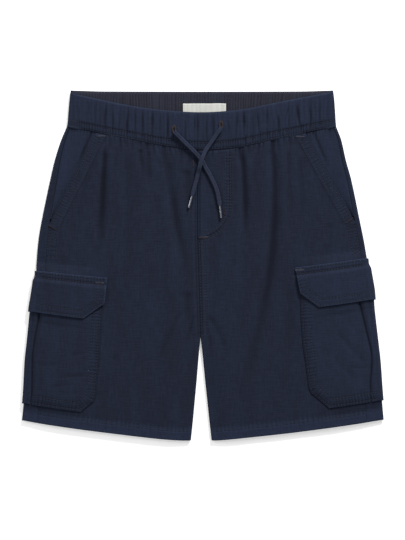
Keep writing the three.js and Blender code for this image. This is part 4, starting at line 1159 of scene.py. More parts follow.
        # Painted highlight: crests are lightened, and this is added to the real wear of edges and rims.
        ridge = np.clip(-close / 0.2, 0, 1) * 0.22 + np.clip(-broad / 0.9, 0, 1) * 0.08
        wear = np.maximum(np.maximum(self.edge, self._rim_wear()), ridge * level)
        rim = tuple(at.T)
        grain = np.concatenate([flat_list(self.grain), flat_list(self.grain[kept]), self.grain[rim]])
        paint(made, grain, np.concatenate([wear.ravel(), 0.2 * wear[kept].ravel(), wear[rim]]),
              np.concatenate([crease_shade.ravel(), crease_shade[kept].ravel(), np.zeros(len(at))]))

    def lay(self, node: str, material: bpy.types.Material, under: str = "", seen: slice = slice(None), up: int = 1,
            fullness: float = 1.0) -> bpy.types.Object:
        """Args:
            node: The solid that it stands for.
            material: Its finish.
            under: The solid that it rests on, if another piece carries it; not used.
            seen, up: Which columns face which way.
            fullness: How much longer the cloth was before it was gathered.

        Returns:
            The piece.
        """
        piece = dress(self.build(seen, up), material, Slot.COTTON, node)
        declare(piece, self.flat(fullness), self.area(fullness))
        return piece


def declare(piece: bpy.types.Object, flat: tuple[float, float], area: float) -> None:
    """Logs a piece's flat size and area.

    Args:
        piece: The piece.
        flat: Its width and length when flat, in metres.
        area: Its area in square metres.
    """
    log.info("%s: %s flat, %.5f m2", piece.name, flat, area)


def lie_of_grain(grid: Array, start: Array | None = None) -> Array:
    """Place of each point in the flat cloth.

    Args:
        grid: Rows and columns of points.
        start: Where each row's first point lies across; its own x if not given.

    Returns:
        Across and along for each point, in millimetres.
    """
    step = np.diff(grid, axis=1)
    run = np.sqrt(step[..., 0] ** 2 + step[..., 2] ** 2)
    way = np.sign(np.median(step[..., 0]))
    across = np.cumsum(np.insert(run * way, 0, 0, axis=1), axis=1)
    across += (grid[:, :1, 0] if start is None else start[:, None])
    return np.stack([across, grid[..., 1]], axis=-1)


@dataclass
class SewnRow:
    """A row of stitches along a path on the cloth.

    Attributes:
        path: Points in plan.
        pitch: From stitch to stitch.
        groove: How deep the row pulls the cloth in.
        pucker: Height of the ripples that it draws across itself.
        reach: How far those ripples run to its sides.
        ripples: Spacing of the ripples.
        seed: Which ripples.
        sewn: Whether it has stitches of its own.
    """

    path: Array
    pitch: float = 2.9
    groove: float = 0.26
    pucker: float = 0.16
    reach: float = 4.5
    ripples: float = 3.3
    seed: int = 1
    sewn: bool = True

    def __post_init__(self) -> None:
        """Evens out the path's points."""
        path = np.asarray(self.path, float)
        run = run_of(path)
        even = np.linspace(0, run[-1], max(2, int(run[-1] / 4) + 1))
        keep = np.unique(np.concatenate([even, run[1:-1]]))
        self.path = np.stack([np.interp(keep, run, path[:, k]) for k in (0, 1)], axis=1)
        self.run = keep

    def near(self, x: Array, y: Array, far: float) -> tuple[Array, Array]:
        """Distance from the row, and how far along it.

        Args:
            x: Places across.
            y: Places along.
            far: Past this distance nothing is worked out.

        Returns:
            Distances, and runs along the row.
        """
        distance, along = np.full(x.shape, far * 4.0), np.zeros(x.shape)
        low, high = self.path.min(0) - far, self.path.max(0) + far
        close = (x > low[0]) & (x < high[0]) & (y > low[1]) & (y < high[1])
        if not close.any():
            return distance, along
        px, py = x[close], y[close]
        best, where = np.full(px.shape, far * 4.0), np.zeros(px.shape)
        for i in range(len(self.path) - 1):
            a, b = self.path[i], self.path[i + 1]
            length = max(float(np.hypot(*(b - a))), 1e-6)
            direction = (b - a) / length
            t = np.clip((px - a[0]) * direction[0] + (py - a[1]) * direction[1], 0, length)
            d = np.hypot(px - a[0] - direction[0] * t, py - a[1] - direction[1] * t)
            nearer = d < best
            best = np.where(nearer, d, best)
            where = np.where(nearer, self.run[i] + t, where)
        distance[close], along[close] = best, where
        return distance, along

    def relief(self, x: Array, y: Array) -> Array:
        """Height that the row adds to the cloth: a groove, and ripples across it."""
        distance, along = self.near(x, y, 3 * self.reach)
        groove = -self.groove * np.exp(-((distance / 0.95) ** 2))
        beside = 0.3 * self.groove * np.exp(-(((distance - 2.1) / 1.1) ** 2))
        waves = self.pucker * ripple(along, self.ripples, self.seed) * np.exp(-((distance / self.reach) ** 2))
        return groove + beside + waves

    def stitches(self) -> tuple[Array, Array]:
        """Both ends of each stitch, in plan."""
        count = max(1, int(self.run[-1] / self.pitch))
        step = self.run[-1] / count
        noise = np.random.default_rng(self.seed + 500).uniform(-0.05, 0.05, (2, count))
        start = (np.arange(count) + 0.11 + noise[0]) * step
        end = (np.arange(count) + 0.89 + noise[1]) * step
        ends = [np.stack([np.interp(at, self.run, self.path[:, k]) for k in (0, 1)], axis=1) for at in (start, end)]
        return ends[0], ends[1]


def beside(path: Array, distance: float) -> Array:
    """A path moved sideways, mitred at its corners.

    Args:
        path: Points in plan.
        distance: How far to the left of its run.

    Returns:
        The moved points.
    """
    step = np.diff(path, axis=0)
    step /= np.maximum(np.linalg.norm(step, axis=1, keepdims=True), 1e-9)
    side = np.stack([-step[:, 1], step[:, 0]], axis=1)
    first, second = np.vstack([side[:1], side]), np.vstack([side, side[-1:]])
    middle = first + second
    middle /= np.maximum(np.linalg.norm(middle, axis=1, keepdims=True), 1e-9)
    stretch = 1 / np.maximum(np.sum(middle * first, axis=1, keepdims=True), 0.5)
    return path + middle * stretch * distance


def twin_rows(path: Array, near: float, far: float, seed: int, pucker: float = 0.24,
              reach: float = 5.5) -> list[SewnRow]:
    """Two rows sewn side by side, with the ripples that they draw up between and beside them.

    Args:
        path: The edge that they follow, in plan.
        near, far: Their distances to the left of its run.
        seed: Which ripples.
        pucker: Height of the ripples.
        reach: How far the ripples go to the sides.

    Returns:
        Both rows, and the unsewn line between them that carries the ripples.
    """
    return [SewnRow(beside(path, near), groove=0.2, pucker=0.05, seed=seed),
            SewnRow(beside(path, far), groove=0.2, pucker=0.05, seed=seed + 1),
            SewnRow(beside(path, (near + far) / 2), groove=0.0, pucker=pucker, reach=reach, seed=seed + 2, sewn=False)]


class StitchKit:
    """One stitch, modelled once, and the joined meshes made of its copies."""

    def __init__(self) -> None:
        """Models the stitch: a short strand, pinched where it enters the cloth."""
        bpy.ops.object.select_all(action="DESELECT")
        bpy.ops.mesh.primitive_uv_sphere_add(segments=7, ring_count=6, radius=0.5, rotation=(0, HALF_TURN, 0))
        bpy.ops.object.transform_apply(location=False, rotation=True, scale=False)
        made = bpy.context.active_object
        bpy.ops.object.mode_set(mode="EDIT")
        bpy.ops.mesh.select_all(action="DESELECT")
        mesh = bmesh.from_edit_mesh(made.data)
        for vertex in mesh.verts:
            vertex.select = 0.2 < abs(vertex.co.x) < 0.46
        mesh.select_flush_mode()
        bmesh.update_edit_mesh(made.data)
        bpy.ops.transform.resize(value=(1.0, 1.12, 1.12))
        bpy.ops.object.mode_set(mode="OBJECT")
        self.points = np.array([vertex.co[:] for vertex in made.data.vertices])
        self.faces = [tuple(face.vertices) for face in made.data.polygons]
        bpy.data.objects.remove(made)

    def copies(self, name: str, centre: Array, along: Array, up: Array, size: Array) -> bpy.types.Object:
        """Joins many stitches in one mesh.

        Args:
            name: The piece's name.
            centre: Their middles.
            along: Their directions.
            up: Directions away from the cloth.
            size: Length, width and height of each.

        Returns:
            The joined object.
        """
        along = along / np.linalg.norm(along, axis=1, keepdims=True)
        side = np.cross(up, along)
        side /= np.linalg.norm(side, axis=1, keepdims=True)
        up = np.cross(along, side)
        axes = np.stack([along, side, up], axis=1) * size[:, :, None]
        points = centre[:, None, :] + np.einsum("pk,nkj->npj", self.points, axes)
        count, each = len(centre), len(self.points)
        faces = [tuple(k + i * each for k in face) for i in range(count) for face in self.faces]
        return mesh_object(name, points.reshape(-1, 3), faces)

    def sew(self, name: str, rows: Sequence[SewnRow], surface: Surface, width: float = 0.62,
            face: int = 1) -> bpy.types.Object:
        """Sews rows onto a surface.

        Args:
            name: The piece's name.
            rows: The rows of stitches.
            surface: Height of the cloth at a place.
            width: The thread's width.
            face: 1 for cloth seen from above and -1 for cloth seen from below.

        Returns:
            The joined stitches.
        """
        starts, ends = (np.concatenate(part) for part in zip(*(row.stitches() for row in rows if row.sewn)))
        return self.lay(name, starts, ends, surface, width, 0.42, face)

    def tack(self, name: str, tacks: Sequence["Tack"], surface: Surface) -> bpy.types.Object:
        """Sews bar tacks onto a surface."""
        starts, ends = (np.concatenate(part) for part in zip(*(tack.stitches() for tack in tacks)))
        return self.lay(name, starts, ends, surface, 0.5, 0.6)

    def lay(self, name: str, starts: Array, ends: Array, surface: Surface, width: float, height: float,
            face: int = 1) -> bpy.types.Object:
        """Lays a stitch between each pair of ends.

        Args:
            name: The piece's name.
            starts, ends: Both ends of each stitch, in plan.
            surface: Height of the cloth at a place.
            width, height: The thread's size.
            face: 1 for cloth seen from above and -1 for cloth seen from below.

        Returns:
            The joined stitches.
        """
        low = np.column_stack([starts, surface(starts[:, 0], starts[:, 1])])
        high = np.column_stack([ends, surface(ends[:, 0], ends[:, 1])])
        middle = (low + high) / 2
        step = 0.6
        slope = [(surface(middle[:, 0] + dx, middle[:, 1] + dy) - surface(middle[:, 0] - dx, middle[:, 1] - dy))
                 / (2 * step) for dx, dy in ((step, 0), (0, step))]
        up = np.stack([-slope[0], -slope[1], np.ones(len(middle))], axis=1)
        up /= np.linalg.norm(up, axis=1, keepdims=True)
        length = np.linalg.norm(high - low, axis=1)
        size = np.stack([length, np.full(len(length), width), np.full(len(length), height)], axis=1)
        return self.copies(name, middle + up * (face * height / 3), high - low, up, size)


@dataclass(frozen=True)
class Tack:
    """A bar tack: a dense bar of stitches that takes the strain at a corner.

    Attributes:
        x, y: Its middle.
        length: Its length.
        turn: How far its run is turned from straight across, in degrees.
        wide: How far its stitches cross it.
    """

    x: float
    y: float
    length: float
    turn: float
    wide: float = 1.8

    def stitches(self) -> tuple[Array, Array]:
        """Both ends of each stitch, in plan."""
        count = max(4, int(self.length / 0.55))
        along = np.linspace(-0.5, 0.5, count) * self.length
        across = np.where(np.arange(count) % 2, 0.5, -0.5) * self.wide
        angle = math.radians(self.turn)
        run, side = np.array([math.cos(angle), math.sin(angle)]), np.array([-math.sin(angle), math.cos(angle)])
        middle = np.array([self.x, self.y]) + along[:, None] * run
        lean = 0.3 * run * np.sign(across)[:, None]
        reach = side * (0.5 * self.wide)
        return middle - reach - lean, middle + reach + lean


FRONT_TACKS = (Tack(102.0, 135.2, 8.4, -2), Tack(-106.4, 135.8, 7.6, 2), Tack(0.9, 29.6, 8.2, 4))
FRONT_RUST_TACKS = (Tack(154.3, 47.2, 8.6, 38, 2.2), Tack(-158.2, 39.8, 8.6, -32, 2.2), Tack(23.0, 56.5, 6.6, 84, 1.4),
                    Tack(-9.9, 107.0, 6.5, 88, 2.0), Tack(0.9, 29.0, 9.0, 4, 2.6))
FLAP_TACKS = {-1: Tack(-108.3, -18.2, 8.4, -3, 2.4), 1: Tack(101.4, -5.0, 8.4, 3, 2.2)}


@dataclass
class FrontPanel:
    """One front: from the waist seam to the hem, and from the pocket's mouth or side seam to the centre.

    Attributes:
        leg: Its pattern lines.
        pitch: Spacing of its mesh's points.
        hem_depth: Height of the turned hem.
        hem_lift, strip_lift, fly_lift: How far doubled cloth stands up.
        strip_wide, strip_edge: The strip along the mouth, and the step down from it.
        hem_row: The hem's row of stitches above its edge.
    """

    leg: Leg
    pitch: float = 1.05
    hem_depth: float = 11.0
    hem_lift: float = 0.45
    strip_lift: float = 0.5
    fly_lift: float = 0.5
    strip_wide: float = 10.8
    strip_edge: float = 1.6
    hem_row: float = 10.0
    rows: list[SewnRow] = field(default_factory=list)

    def __post_init__(self) -> None:
        """Lays out the rows of stitches."""
        self.rows = self._mouth_rows() + self._side_box() + self._hem_rows() + self._middle_rows()

    def _mouth_rows(self) -> list[SewnRow]:
        """Twin rows along the slanted pocket's mouth."""
        leg = self.leg
        y = np.linspace(float(seam_line(leg.mouth_top[0])) - 1.5, leg.mouth_end[1] + 1, 12)
        path = np.stack([leg.mouth_line(y), y], axis=1)
        return twin_rows(path, leg.sign * -1.9, leg.sign * -8.2, 11 + 5 * leg.sign, pucker=0.2, reach=5.0)

    def _side_box(self) -> list[SewnRow]:
        """The box of stitches that closes the pocket's bag below its mouth."""
        leg = self.leg
        bottom = 9.9 if leg.sign < 0 else 12.5
        y = np.linspace(leg.mouth_end[1] - 4, bottom, 6)
        path = np.stack([leg.side_seam(y), y], axis=1)
        rows = twin_rows(path, leg.sign * -1.4, leg.sign * -8.8, 31 + 5 * leg.sign, pucker=0.14, reach=4.0)
        ends = np.array([rows[0].path[-1], rows[1].path[-1]])
        return rows + [SewnRow(ends, groove=0.25, pucker=0.05, seed=35)]

    def _hem_rows(self) -> list[SewnRow]:
        """The row that holds the hem."""
        leg = self.leg
        v = np.array([1.0])
        start = leg.meet(leg.front_edge, v, leg.front_y)[0][0] - leg.sign * 0.6
        end = leg.meet(lambda y: leg.inner(y) + leg.sign * 2.0, v, leg.front_y)[0][0]
        x = np.linspace(start, end, 30)
        path = np.stack([x, leg.hem(x) + self.hem_row], axis=1)
        return [SewnRow(path, groove=0.3, pucker=0.2, reach=4.5, ripples=4.4, seed=41 + leg.sign)]

    def _middle_rows(self) -> list[SewnRow]:
        """Rows beside the centre seam, and the mock fly's twin rows on the right front."""
        leg = self.leg
        if leg.sign < 0:
            return []
        y = np.linspace(24, CROTCH_Y + 4, 14)
        rows = [SewnRow(np.stack([leg.inner(y) + inside, y], axis=1), groove=0.24, pucker=0.1, seed=51 + int(inside))
                for inside in (1.8, 7.2)]
        y = np.concatenate([np.linspace(118, 60, 10), np.linspace(57, 29.5, 14)])
        outline = np.stack([FLY(y), y], axis=1)
        rows += twin_rows(outline[outline[:, 0] > float(leg.inner(30.0)) + 5.0], -2.6, 2.6, 61, pucker=0.26, reach=4.2)
        return rows

    def doubled(self, x: Array, y: Array) -> Array:
        """How far doubled cloth stands above the single layer."""
        leg = self.leg
        hem = ease(leg.hem(x) + self.hem_depth + 1.2 - y, 0, 1.2)
        from_mouth = np.abs(x - leg.mouth_line(y))
        strip = ease(self.strip_wide + self.strip_edge - from_mouth, 0, self.strip_edge)
        strip = strip * ease(y - leg.mouth_end[1], -6, 0)
        fly = ease(FLY(y) - x, -1.6, 0.2) if leg.sign > 0 else 0
        return self.hem_lift * hem + self.strip_lift * strip + self.fly_lift * fly

    def _gathers(self, x: Array, y: Array) -> Array:
        """Depth of the short gathers under the waist seam, and of the fine ones between them."""
        below = seam_line(x) - y
        total = 0.30 * (1 + ripple(x, 3.1, 71)) * np.exp(-np.maximum(below, 0) / 3.6)
        for start, lean, length, wide, deep in WAIST_GATHERS:
            s = below / length
            t = (x - start - lean * s) / (wide * (1 + 0.8 * np.clip(s, 0, 1)))
            total = total + 1.35 * deep * np.exp(-t * t) * (1 - ease(s, 0.15, 1.0))
        return total

    def _creases(self, x: Array, y: Array) -> Array:
        """Soft unevenness of cloth that has been worn and laid out by hand."""
        broad = 0.30 * Unevenness(81)(x / 34 + 0.3 * y / 60, y / 52)
        middle = 0.11 * Unevenness(82)(x / 13, y / 21)
        fine = 0.045 * Unevenness(83)(x / 4.2, y / 6.0)
        return broad + middle + fine

    def outside(self, x: Array, y: Array) -> Array:
        """Reads the height of the front's outside.

        Args:
            x: Places across.
            y: Places along.

        Returns:
            The heights.
        """
        leg = self.leg
        inset, inseam = np.maximum(0, leg.inset(x, y) - EDGE_RADIUS), leg.from_inner(x, y)
        calm = (1 - np.exp(-((inset / 9) ** 2))) * (1 - 0.8 * np.exp(-((inseam / 4) ** 2)))
        folds = sum(fold.depth(x, y) for fold in FINE_FOLDS) + self._gathers(x, y)
        soft = (self._creases(x, y) - folds) * calm
        sewn = sum(row.relief(x, y) for row in self.rows)
        seam = -0.8 * np.exp(-((inseam / 1.2) ** 2)) * ease(y, CROTCH_Y - 6, CROTCH_Y + 6)
        height = leg.front(x, y) + self.doubled(x, y) + (soft + sewn) * leg.on_skin(x, y) + seam
        return sewn_under(height, x, y)

    def _grid(self) -> Array:
        """Points of the outside, from its outer edge to the curl at its inner one."""
        leg = self.leg
        v = np.linspace(-0.0009, 1, int(LEG_LENGTH / self.pitch))
        centre, curl = leg.inner_curl(v, leg.front_y, 0.8, self.outside, 1)
        start, _ = leg.meet(lambda y: leg.front_edge(y) - leg.sign * SEAM_GAP / 2, v, leg.front_y)
        x = lerp(start[:, None], centre[:, None], np.linspace(0, 1, int(185 / self.pitch))[:-1])
        y = leg.front_y(x, v[:, None])
        return np.concatenate([points(x, y, self.outside(x, y)), curl], axis=1)

    def build(self, finishes: Finishes, kit: StitchKit) -> None:
        """Builds and dresses the front and its sewing.

        Args:
            finishes: The materials.
            kit: The stitches.
        """
        leg, grid = self.leg, self._grid()
        x, y = grid[..., 0], grid[..., 1]
        edge = HEM_WEAR * ease(leg.hem(x) + self.hem_depth + 6 - y, 0, 8)
        Shell(f"front_panel_{leg.name}", grid, CLOTH, edge, lie_of_grain(grid), LAST_ROW,
              beneath=leg.swell(x, y)).lay(f"front_{leg.name}", finishes.cotton, f"back_{leg.name}")
        dress(kit.sew(f"front_sewing_{leg.name}", self.rows, self.outside), finishes.thread, Slot.COTTON)
        middle = float(leg.inner(60.0))
        for key, tacks, thread in (("light", FRONT_TACKS, finishes.light), ("rust", FRONT_RUST_TACKS, finishes.rust)):
            mine = [tack for tack in tacks if (tack.x - middle) * leg.sign > 0]
            dress(kit.tack(f"front_{key}_tacks_{leg.name}", mine, self.outside), thread, Slot.COTTON)


@dataclass
class BackPanel:
    """One back: it lies underneath, turns up round the side fold and ends at the side seam on the front."""

    leg: Leg
    pitch: float = 1.7
    rows: list[SewnRow] = field(default_factory=list)

    def __post_init__(self) -> None:
        """Lays out the hem's row and, on the right, the rows beside the seat seam."""
        leg = self.leg
        x = np.linspace(float(leg.hem.rows[0][0]), float(leg.hem.rows[-1][0]), 30)
        x = x[(leg.inset(x, leg.hem(x)) > 4) & ((x - leg.inner(leg.hem(x))) * leg.sign > 3)]
        self.rows = [SewnRow(np.stack([x, leg.hem(x) + 10], axis=1), groove=0.25, pucker=0.12, ripples=4.4,
                             seed=301 + leg.sign)]
        if leg.sign > 0:
            y = np.linspace(143, CROTCH_Y + 4, 24)
            self.rows += [SewnRow(np.stack([leg.inner(y) + inside, y], axis=1), groove=0.2, pucker=0.06, seed=305)
                          for inside in (2.6, 8.0)]

    def underside(self, x: Array, y: Array) -> Array:
        """Height of the underside, which lies flat but for its soft folds, gathers and seams."""
        leg = self.leg
        v = leg.row_of(x, y)
        inset, inseam = leg.inset(x, y), (x - leg.inner(y)) * leg.sign
        pocket = between(v, leg.flap_top, leg.pocket_bottom, ROW_RAMP)
        calm = lerp(ease(inset, 6, 30), ease(inset, 52, 76), pocket) * ease(inseam, 1.5, 9)
        folds = sum(fold.depth(x, y) for fold in BACK_FOLDS)
        gathers = 0.3 * (1 + ripple(x, 3.6, 311)) * np.exp(-np.maximum(WAIST_SIDE_Y - y, 0) / 7.0)
        soft = 0.14 * (1 + Unevenness(312)(x / 30, y / 44)) + 0.05 * (1 + Unevenness(313)(x / 9, y / 13))
        single = 0.3 * (1 - ease(leg.hem(x) + 12 - y, 0, 1.5))
        sewn = -sum(row.relief(x, y) for row in self.rows) * ease(inseam, 0.5, 2)
        return leg.bed(inset, v) + np.maximum(0, (folds + gathers + soft + single) * calm + sewn)

    def _grid(self) -> Array:
        """Points of the outside, from the inner curl under the leg and round its side."""
        leg = self.leg
        v = np.linspace(0, 1, int(LEG_LENGTH / self.pitch))
        centre, curl = leg.inner_curl(v, leg.back_y, 0.45, lambda x, y: leg.bed(leg.inset(x, y), leg.row_of(x, y)), -1)
        columns = [leg.column(leg.line(far), v, self.underside) for far in (58, *np.linspace(56, EDGE_RADIUS + 1.5, 30))]
        x = lerp(centre[:, None], columns[0][:, :1], np.linspace(0, 1, int(120 / self.pitch))[1:-1])
        y = leg.back_y(x, v[:, None])
        columns += leg.round_side(np.linspace(-HALF_TURN, HALF_TURN, FOLD_COLUMNS), v, 0.0)
        fold, seam = leg.line(EDGE_RADIUS), leg.sign * SEAM_GAP / 2
        columns += [leg.column(lambda h, s=s: lerp(fold(h), leg.side_seam(h) + seam, s), v, leg.front)
                    for s in np.linspace(0, 1, 9)[1:]]
        return np.concatenate([curl[:, ::-1], points(x, y, self.underside(x, y)), np.stack(columns, axis=1)], axis=1)

    def build(self, finishes: Finishes, kit: StitchKit) -> None:
        """Builds and dresses the back and its sewing.

        Args:
            finishes: The materials.
            kit: The stitches.
        """
        leg, grid = self.leg, self._grid()
        x, y = grid[..., 0], grid[..., 1]
        edge = np.maximum(0.55 * np.exp(-((leg.inset(x, y) / 1.1) ** 2)), HEM_WEAR * ease(leg.hem(x) + 17 - y, 0, 8))
        shell = Shell(f"back_panel_{leg.name}", grid, CLOTH, edge, lie_of_grain(grid), LAST_ROW,
                      beneath=np.where(grid[..., 2] > EDGE_RADIUS, leg.swell(x, y), 0))
        shell.lay(f"back_{leg.name}", finishes.cotton, seen=slice(grid.shape[1] // 2), up=-1)
        sewing = kit.sew(f"back_sewing_{leg.name}", self.rows, lambda x, y: self.underside(x, y) + 0.2, face=-1)
        dress(sewing, finishes.thread, Slot.COTTON)


@dataclass
class HipFacing:
    """The cloth that shows in a slanted pocket's mouth, and runs on under the front's edge."""

    leg: Leg
    underlap: float = 7.0
    pitch: float = 1.2

    def _seam(self, y: Array) -> Array:
        """Its edge at the side seam."""
        return self.leg.side_seam(y) - self.leg.sign * SEAM_GAP

    def outside(self, x: Array, y: Array) -> Array:
        """Height of its outside, lower towards the mouth."""
        leg = self.leg
        width = np.maximum(np.abs(leg.mouth_line(y) - self._seam(y)) - 1, 2)
        t = np.abs(x - self._seam(y)) / width
        from_seam = np.abs(x - self._seam(y))
        pull = -0.3 * np.exp(-((from_seam / 1.4) ** 2))
        below = seam_line(x) - y
        gathers = -0.3 * (1 + ripple(x, 3.3, 91 + leg.sign)) * np.exp(-np.maximum(below, 0) / 7.0)
        crease = -0.5 * np.exp(-((((x * leg.sign - 121) - 0.42 * (130 - y)) / 2.4) ** 2)) * ease(y, 96, 122)
        soft = 0.14 * Unevenness(92)(x / 9, y / 15)
        calm = ease(from_seam, 0, 4)
        return sewn_under(leg.front(x, y) - LAYER * ease(t) + pull + (gathers + crease + soft) * calm, x, y)

    def build(self, finishes: Finishes) -> None:
        """Builds and dresses the facing.

        Args:
            finishes: The materials.
        """
        leg = self.leg
        v = np.linspace(0, 1, int(96 / self.pitch))

        def row(x: Array, share: Array) -> Array:
            """Height y of a row at x."""
            return lerp(seam_line(x) + SEAM_GAP, leg.mouth_end[1] + 5, share)

        start, _ = leg.meet(self._seam, v, row)
        end, _ = leg.meet(lambda y: leg.mouth_line(y) - leg.sign * self.underlap, v, row)
        x = lerp(start[:, None], end[:, None], np.linspace(0, 1, 42))
        y = row(x, v[:, None])
        grid = points(x, y, self.outside(x, y))
        Shell(f"hip_facing_{leg.name}", grid, CLOTH, np.full(x.shape, 0.26), lie_of_grain(grid),
              (False,) * 4).lay(f"hip_{leg.name}", finishes.cotton)


@dataclass
class CargoPocket:
    """A cargo pocket's bag, which goes round the side fold and half way under the leg.

    Attributes:
        leg: Its leg's pattern lines.
        loft: Swell of the bag.
        back: How far it goes under the leg.
        pleat_half, pleat_deep: The pleat down its outer side.
        thin_edge: How much flatter its edges lie than its solid's.
    """

    leg: Leg
    loft: float = 1.2
    back: float = 46.0
    pleat_half: float = 1.5
    pleat_deep: float = 1.0
    thin_edge: float = 0.65
    rows: list[SewnRow] = field(default_factory=list)

    def __post_init__(self) -> None:
        """Lays out the twin rows down its inner edge and along its bottom."""
        leg = self.leg
        y = np.linspace(leg.pocket_top - 8, leg.pocket_inner.rows[0][0], 24)
        side = np.stack([leg.pocket_inner(y), y], axis=1)
        fold_x = float(leg.meet(lambda h: leg.side(h) - leg.sign * 4.0, np.array([leg.pocket_bottom]),
                                leg.back_y)[0][0])
        corner_x = float(side[-1, 0])
        x = np.linspace(corner_x, fold_x, 12)[1:]
        bottom = np.stack([x, leg.back_y(x, np.full_like(x, leg.pocket_bottom))], axis=1)
        corner_y = float(leg.back_y(np.array(corner_x), np.array(leg.pocket_bottom)))
        side = side[side[:, 1] > corner_y + 0.5]
        outline = np.vstack([side, [[corner_x, corner_y]], bottom])
        self.rows = twin_rows(outline, leg.sign * 1.9, leg.sign * 9.0, 101 + 7 * leg.sign, pucker=0.3, reach=7.0)

    def _swell(self, x: Array, y: Array) -> Array:
        """Swell above the bag's own cloth: two lobes with the pleat between them."""
        leg = self.leg
        v = leg.row_of(x, y)
        inset = leg.inset(x, y)
        from_pleat = np.abs(inset - leg.pleat(y))
        from_inner = np.abs(x - leg.pocket_inner(y))
        edges = ease(from_inner, 0, 14) * ease((leg.pocket_bottom - v) * LEG_LENGTH, 0, 16)
        under_flap = 1 - 0.5 * ease(leg.flap_bottom + 0.03 - v, 0, 0.05)
        lobes = ease(from_pleat, 0, 5) * ease(inset, EDGE_RADIUS, EDGE_RADIUS + 4)
        return self.loft * edges * lobes * under_flap

    def _creases(self, x: Array, y: Array) -> Array:
        """Wrinkles of the bag: level ones low on the left, slanting ones on the right."""
        leg = self.leg
        soft = 0.16 * Unevenness(111 + leg.sign)(x / 12, y / 17) + 0.05 * Unevenness(112)(x / 4.5, y / 5)
        if leg.sign < 0:
            level = ((-135.5, -116, 14, 2.2, 0.35), (-150, -126, 10, 1.8, 0.25), (-128, -92, 12, 2.6, 0.2),
                     (-162, -104, 12, 2.4, 0.25), (-141, -134, 13, 2.0, 0.2))
            for cx, cy, half, wide, deep in level:
                soft = soft - deep * np.exp(-(((y - cy - 0.05 * (x - cx)) / wide) ** 2) - (((x - cx) / half) ** 2))
            return soft
        slanting = ((139.5, -68, 175, -107, 4.2, 0.42), (152, -58, 178, -90, 3.4, 0.2), (126, -86, 160, -118, 4.6, 0.26),
                    (156, -107, 174.5, -107.6, 1.7, 0.3), (132, -104, 150, -128, 4.0, 0.16))
        for x0, y0, x1, y1, wide, deep in slanting:
            length = math.hypot(x1 - x0, y1 - y0)
            run = ((x - x0) * (x1 - x0) + (y - y0) * (y1 - y0)) / length ** 2
            off = ((x - x0) * (y1 - y0) - (y - y0) * (x1 - x0)) / length
            soft = soft - deep * np.exp(-((off / wide) ** 2)) * ease(run, -0.15, 0.2) * (1 - ease(run, 0.75, 1.15))
        return soft

    def outside(self, x: Array, y: Array) -> Array:
        """Height of the bag's outside, on the front."""
        leg = self.leg
        from_pleat = leg.inset(x, y) - leg.pleat(y)
        groove = self.pleat_deep * np.maximum(0, 1 - np.abs(from_pleat) / self.pleat_half)
        shown = ease(leg.inset(x, y), 2.5, 8)
        sewn = sum(row.relief(x, y) for row in self.rows)
        from_edge = np.minimum(np.abs(x - leg.pocket_inner(y)), (leg.pocket_bottom - leg.row_of(x, y)) * LEG_LENGTH)
        thin = self.thin_edge * (1 - ease(from_edge, 0, 7))
        base = leg.front(x, y) + LAY_GAP + SOLID_CLOTH - thin
        return base + self._swell(x, y) - groove + (self._creases(x, y) + sewn) * shown

    def build(self, finishes: Finishes, kit: StitchKit) -> None:
        """Builds and dresses the bag and its sewing.

        Args:
            finishes: The materials.
            kit: The stitches.
        """
        leg = self.leg
        top = float(leg.row_of(leg.side(leg.pocket_top), leg.pocket_top))
        v = np.linspace(top, leg.pocket_bottom, int((leg.pocket_bottom - top) * LEG_LENGTH / 1.05))

        def pleat(y: Array, far: float) -> Array:
            """A line beside the pleat's."""
            return leg.side(y) - leg.sign * (leg.pleat(y) + far)

        places = [lambda y, s=s: lerp(leg.pocket_inner(y), pleat(y, 3.0), s) for s in np.linspace(0, 1, 66)]
        places += [lambda y, f=far: pleat(y, f) for far in np.linspace(3.0, -1.8, 13)[1:]]
        places += [lambda y, s=s: lerp(pleat(y, -1.8), leg.line(EDGE_RADIUS)(y), s) for s in np.linspace(0, 1, 8)[1:]]
        columns = [leg.column(place, v, self.outside) for place in places]
        over_side(f"pocket_bag_{leg.name}", leg, columns, leg.wrap(v, LAYER, self.back - 1), 0.08 if leg.sign < 0 else 0.18,
                  LAST_ROW).lay(f"cargo_pocket_{leg.name}", finishes.cotton, f"front_{leg.name}", slice(SEEN_COLUMNS))
        dress(kit.sew(f"pocket_sewing_{leg.name}", self.rows, self.outside), finishes.thread, Slot.COTTON)


def over_side(name: str, leg: Leg, shown: list[Array], hidden: list[Array], worn: float,
              rims: tuple[bool, bool, bool, bool]) -> Shell:
    """Makes the shell of a piece that goes over its leg's side fold.

    Args:
        name: The piece's name.
        leg: Its leg.
        shown: Columns of points on the front.
        hidden: Columns round the fold and under the leg.
        worn: Wear all over.
        rims: Which borders show wear.

    Returns:
        The shell.
    """
    grid = np.stack(shown + hidden, axis=1)
    edge = np.maximum(worn, 0.5 * np.exp(-((leg.inset(grid[..., 0], grid[..., 1]) / 1.4) ** 2)))
    edge[:, len(shown):] *= 0.6
    return Shell(name, grid, CLOTH, edge, lie_of_grain(grid), rims)


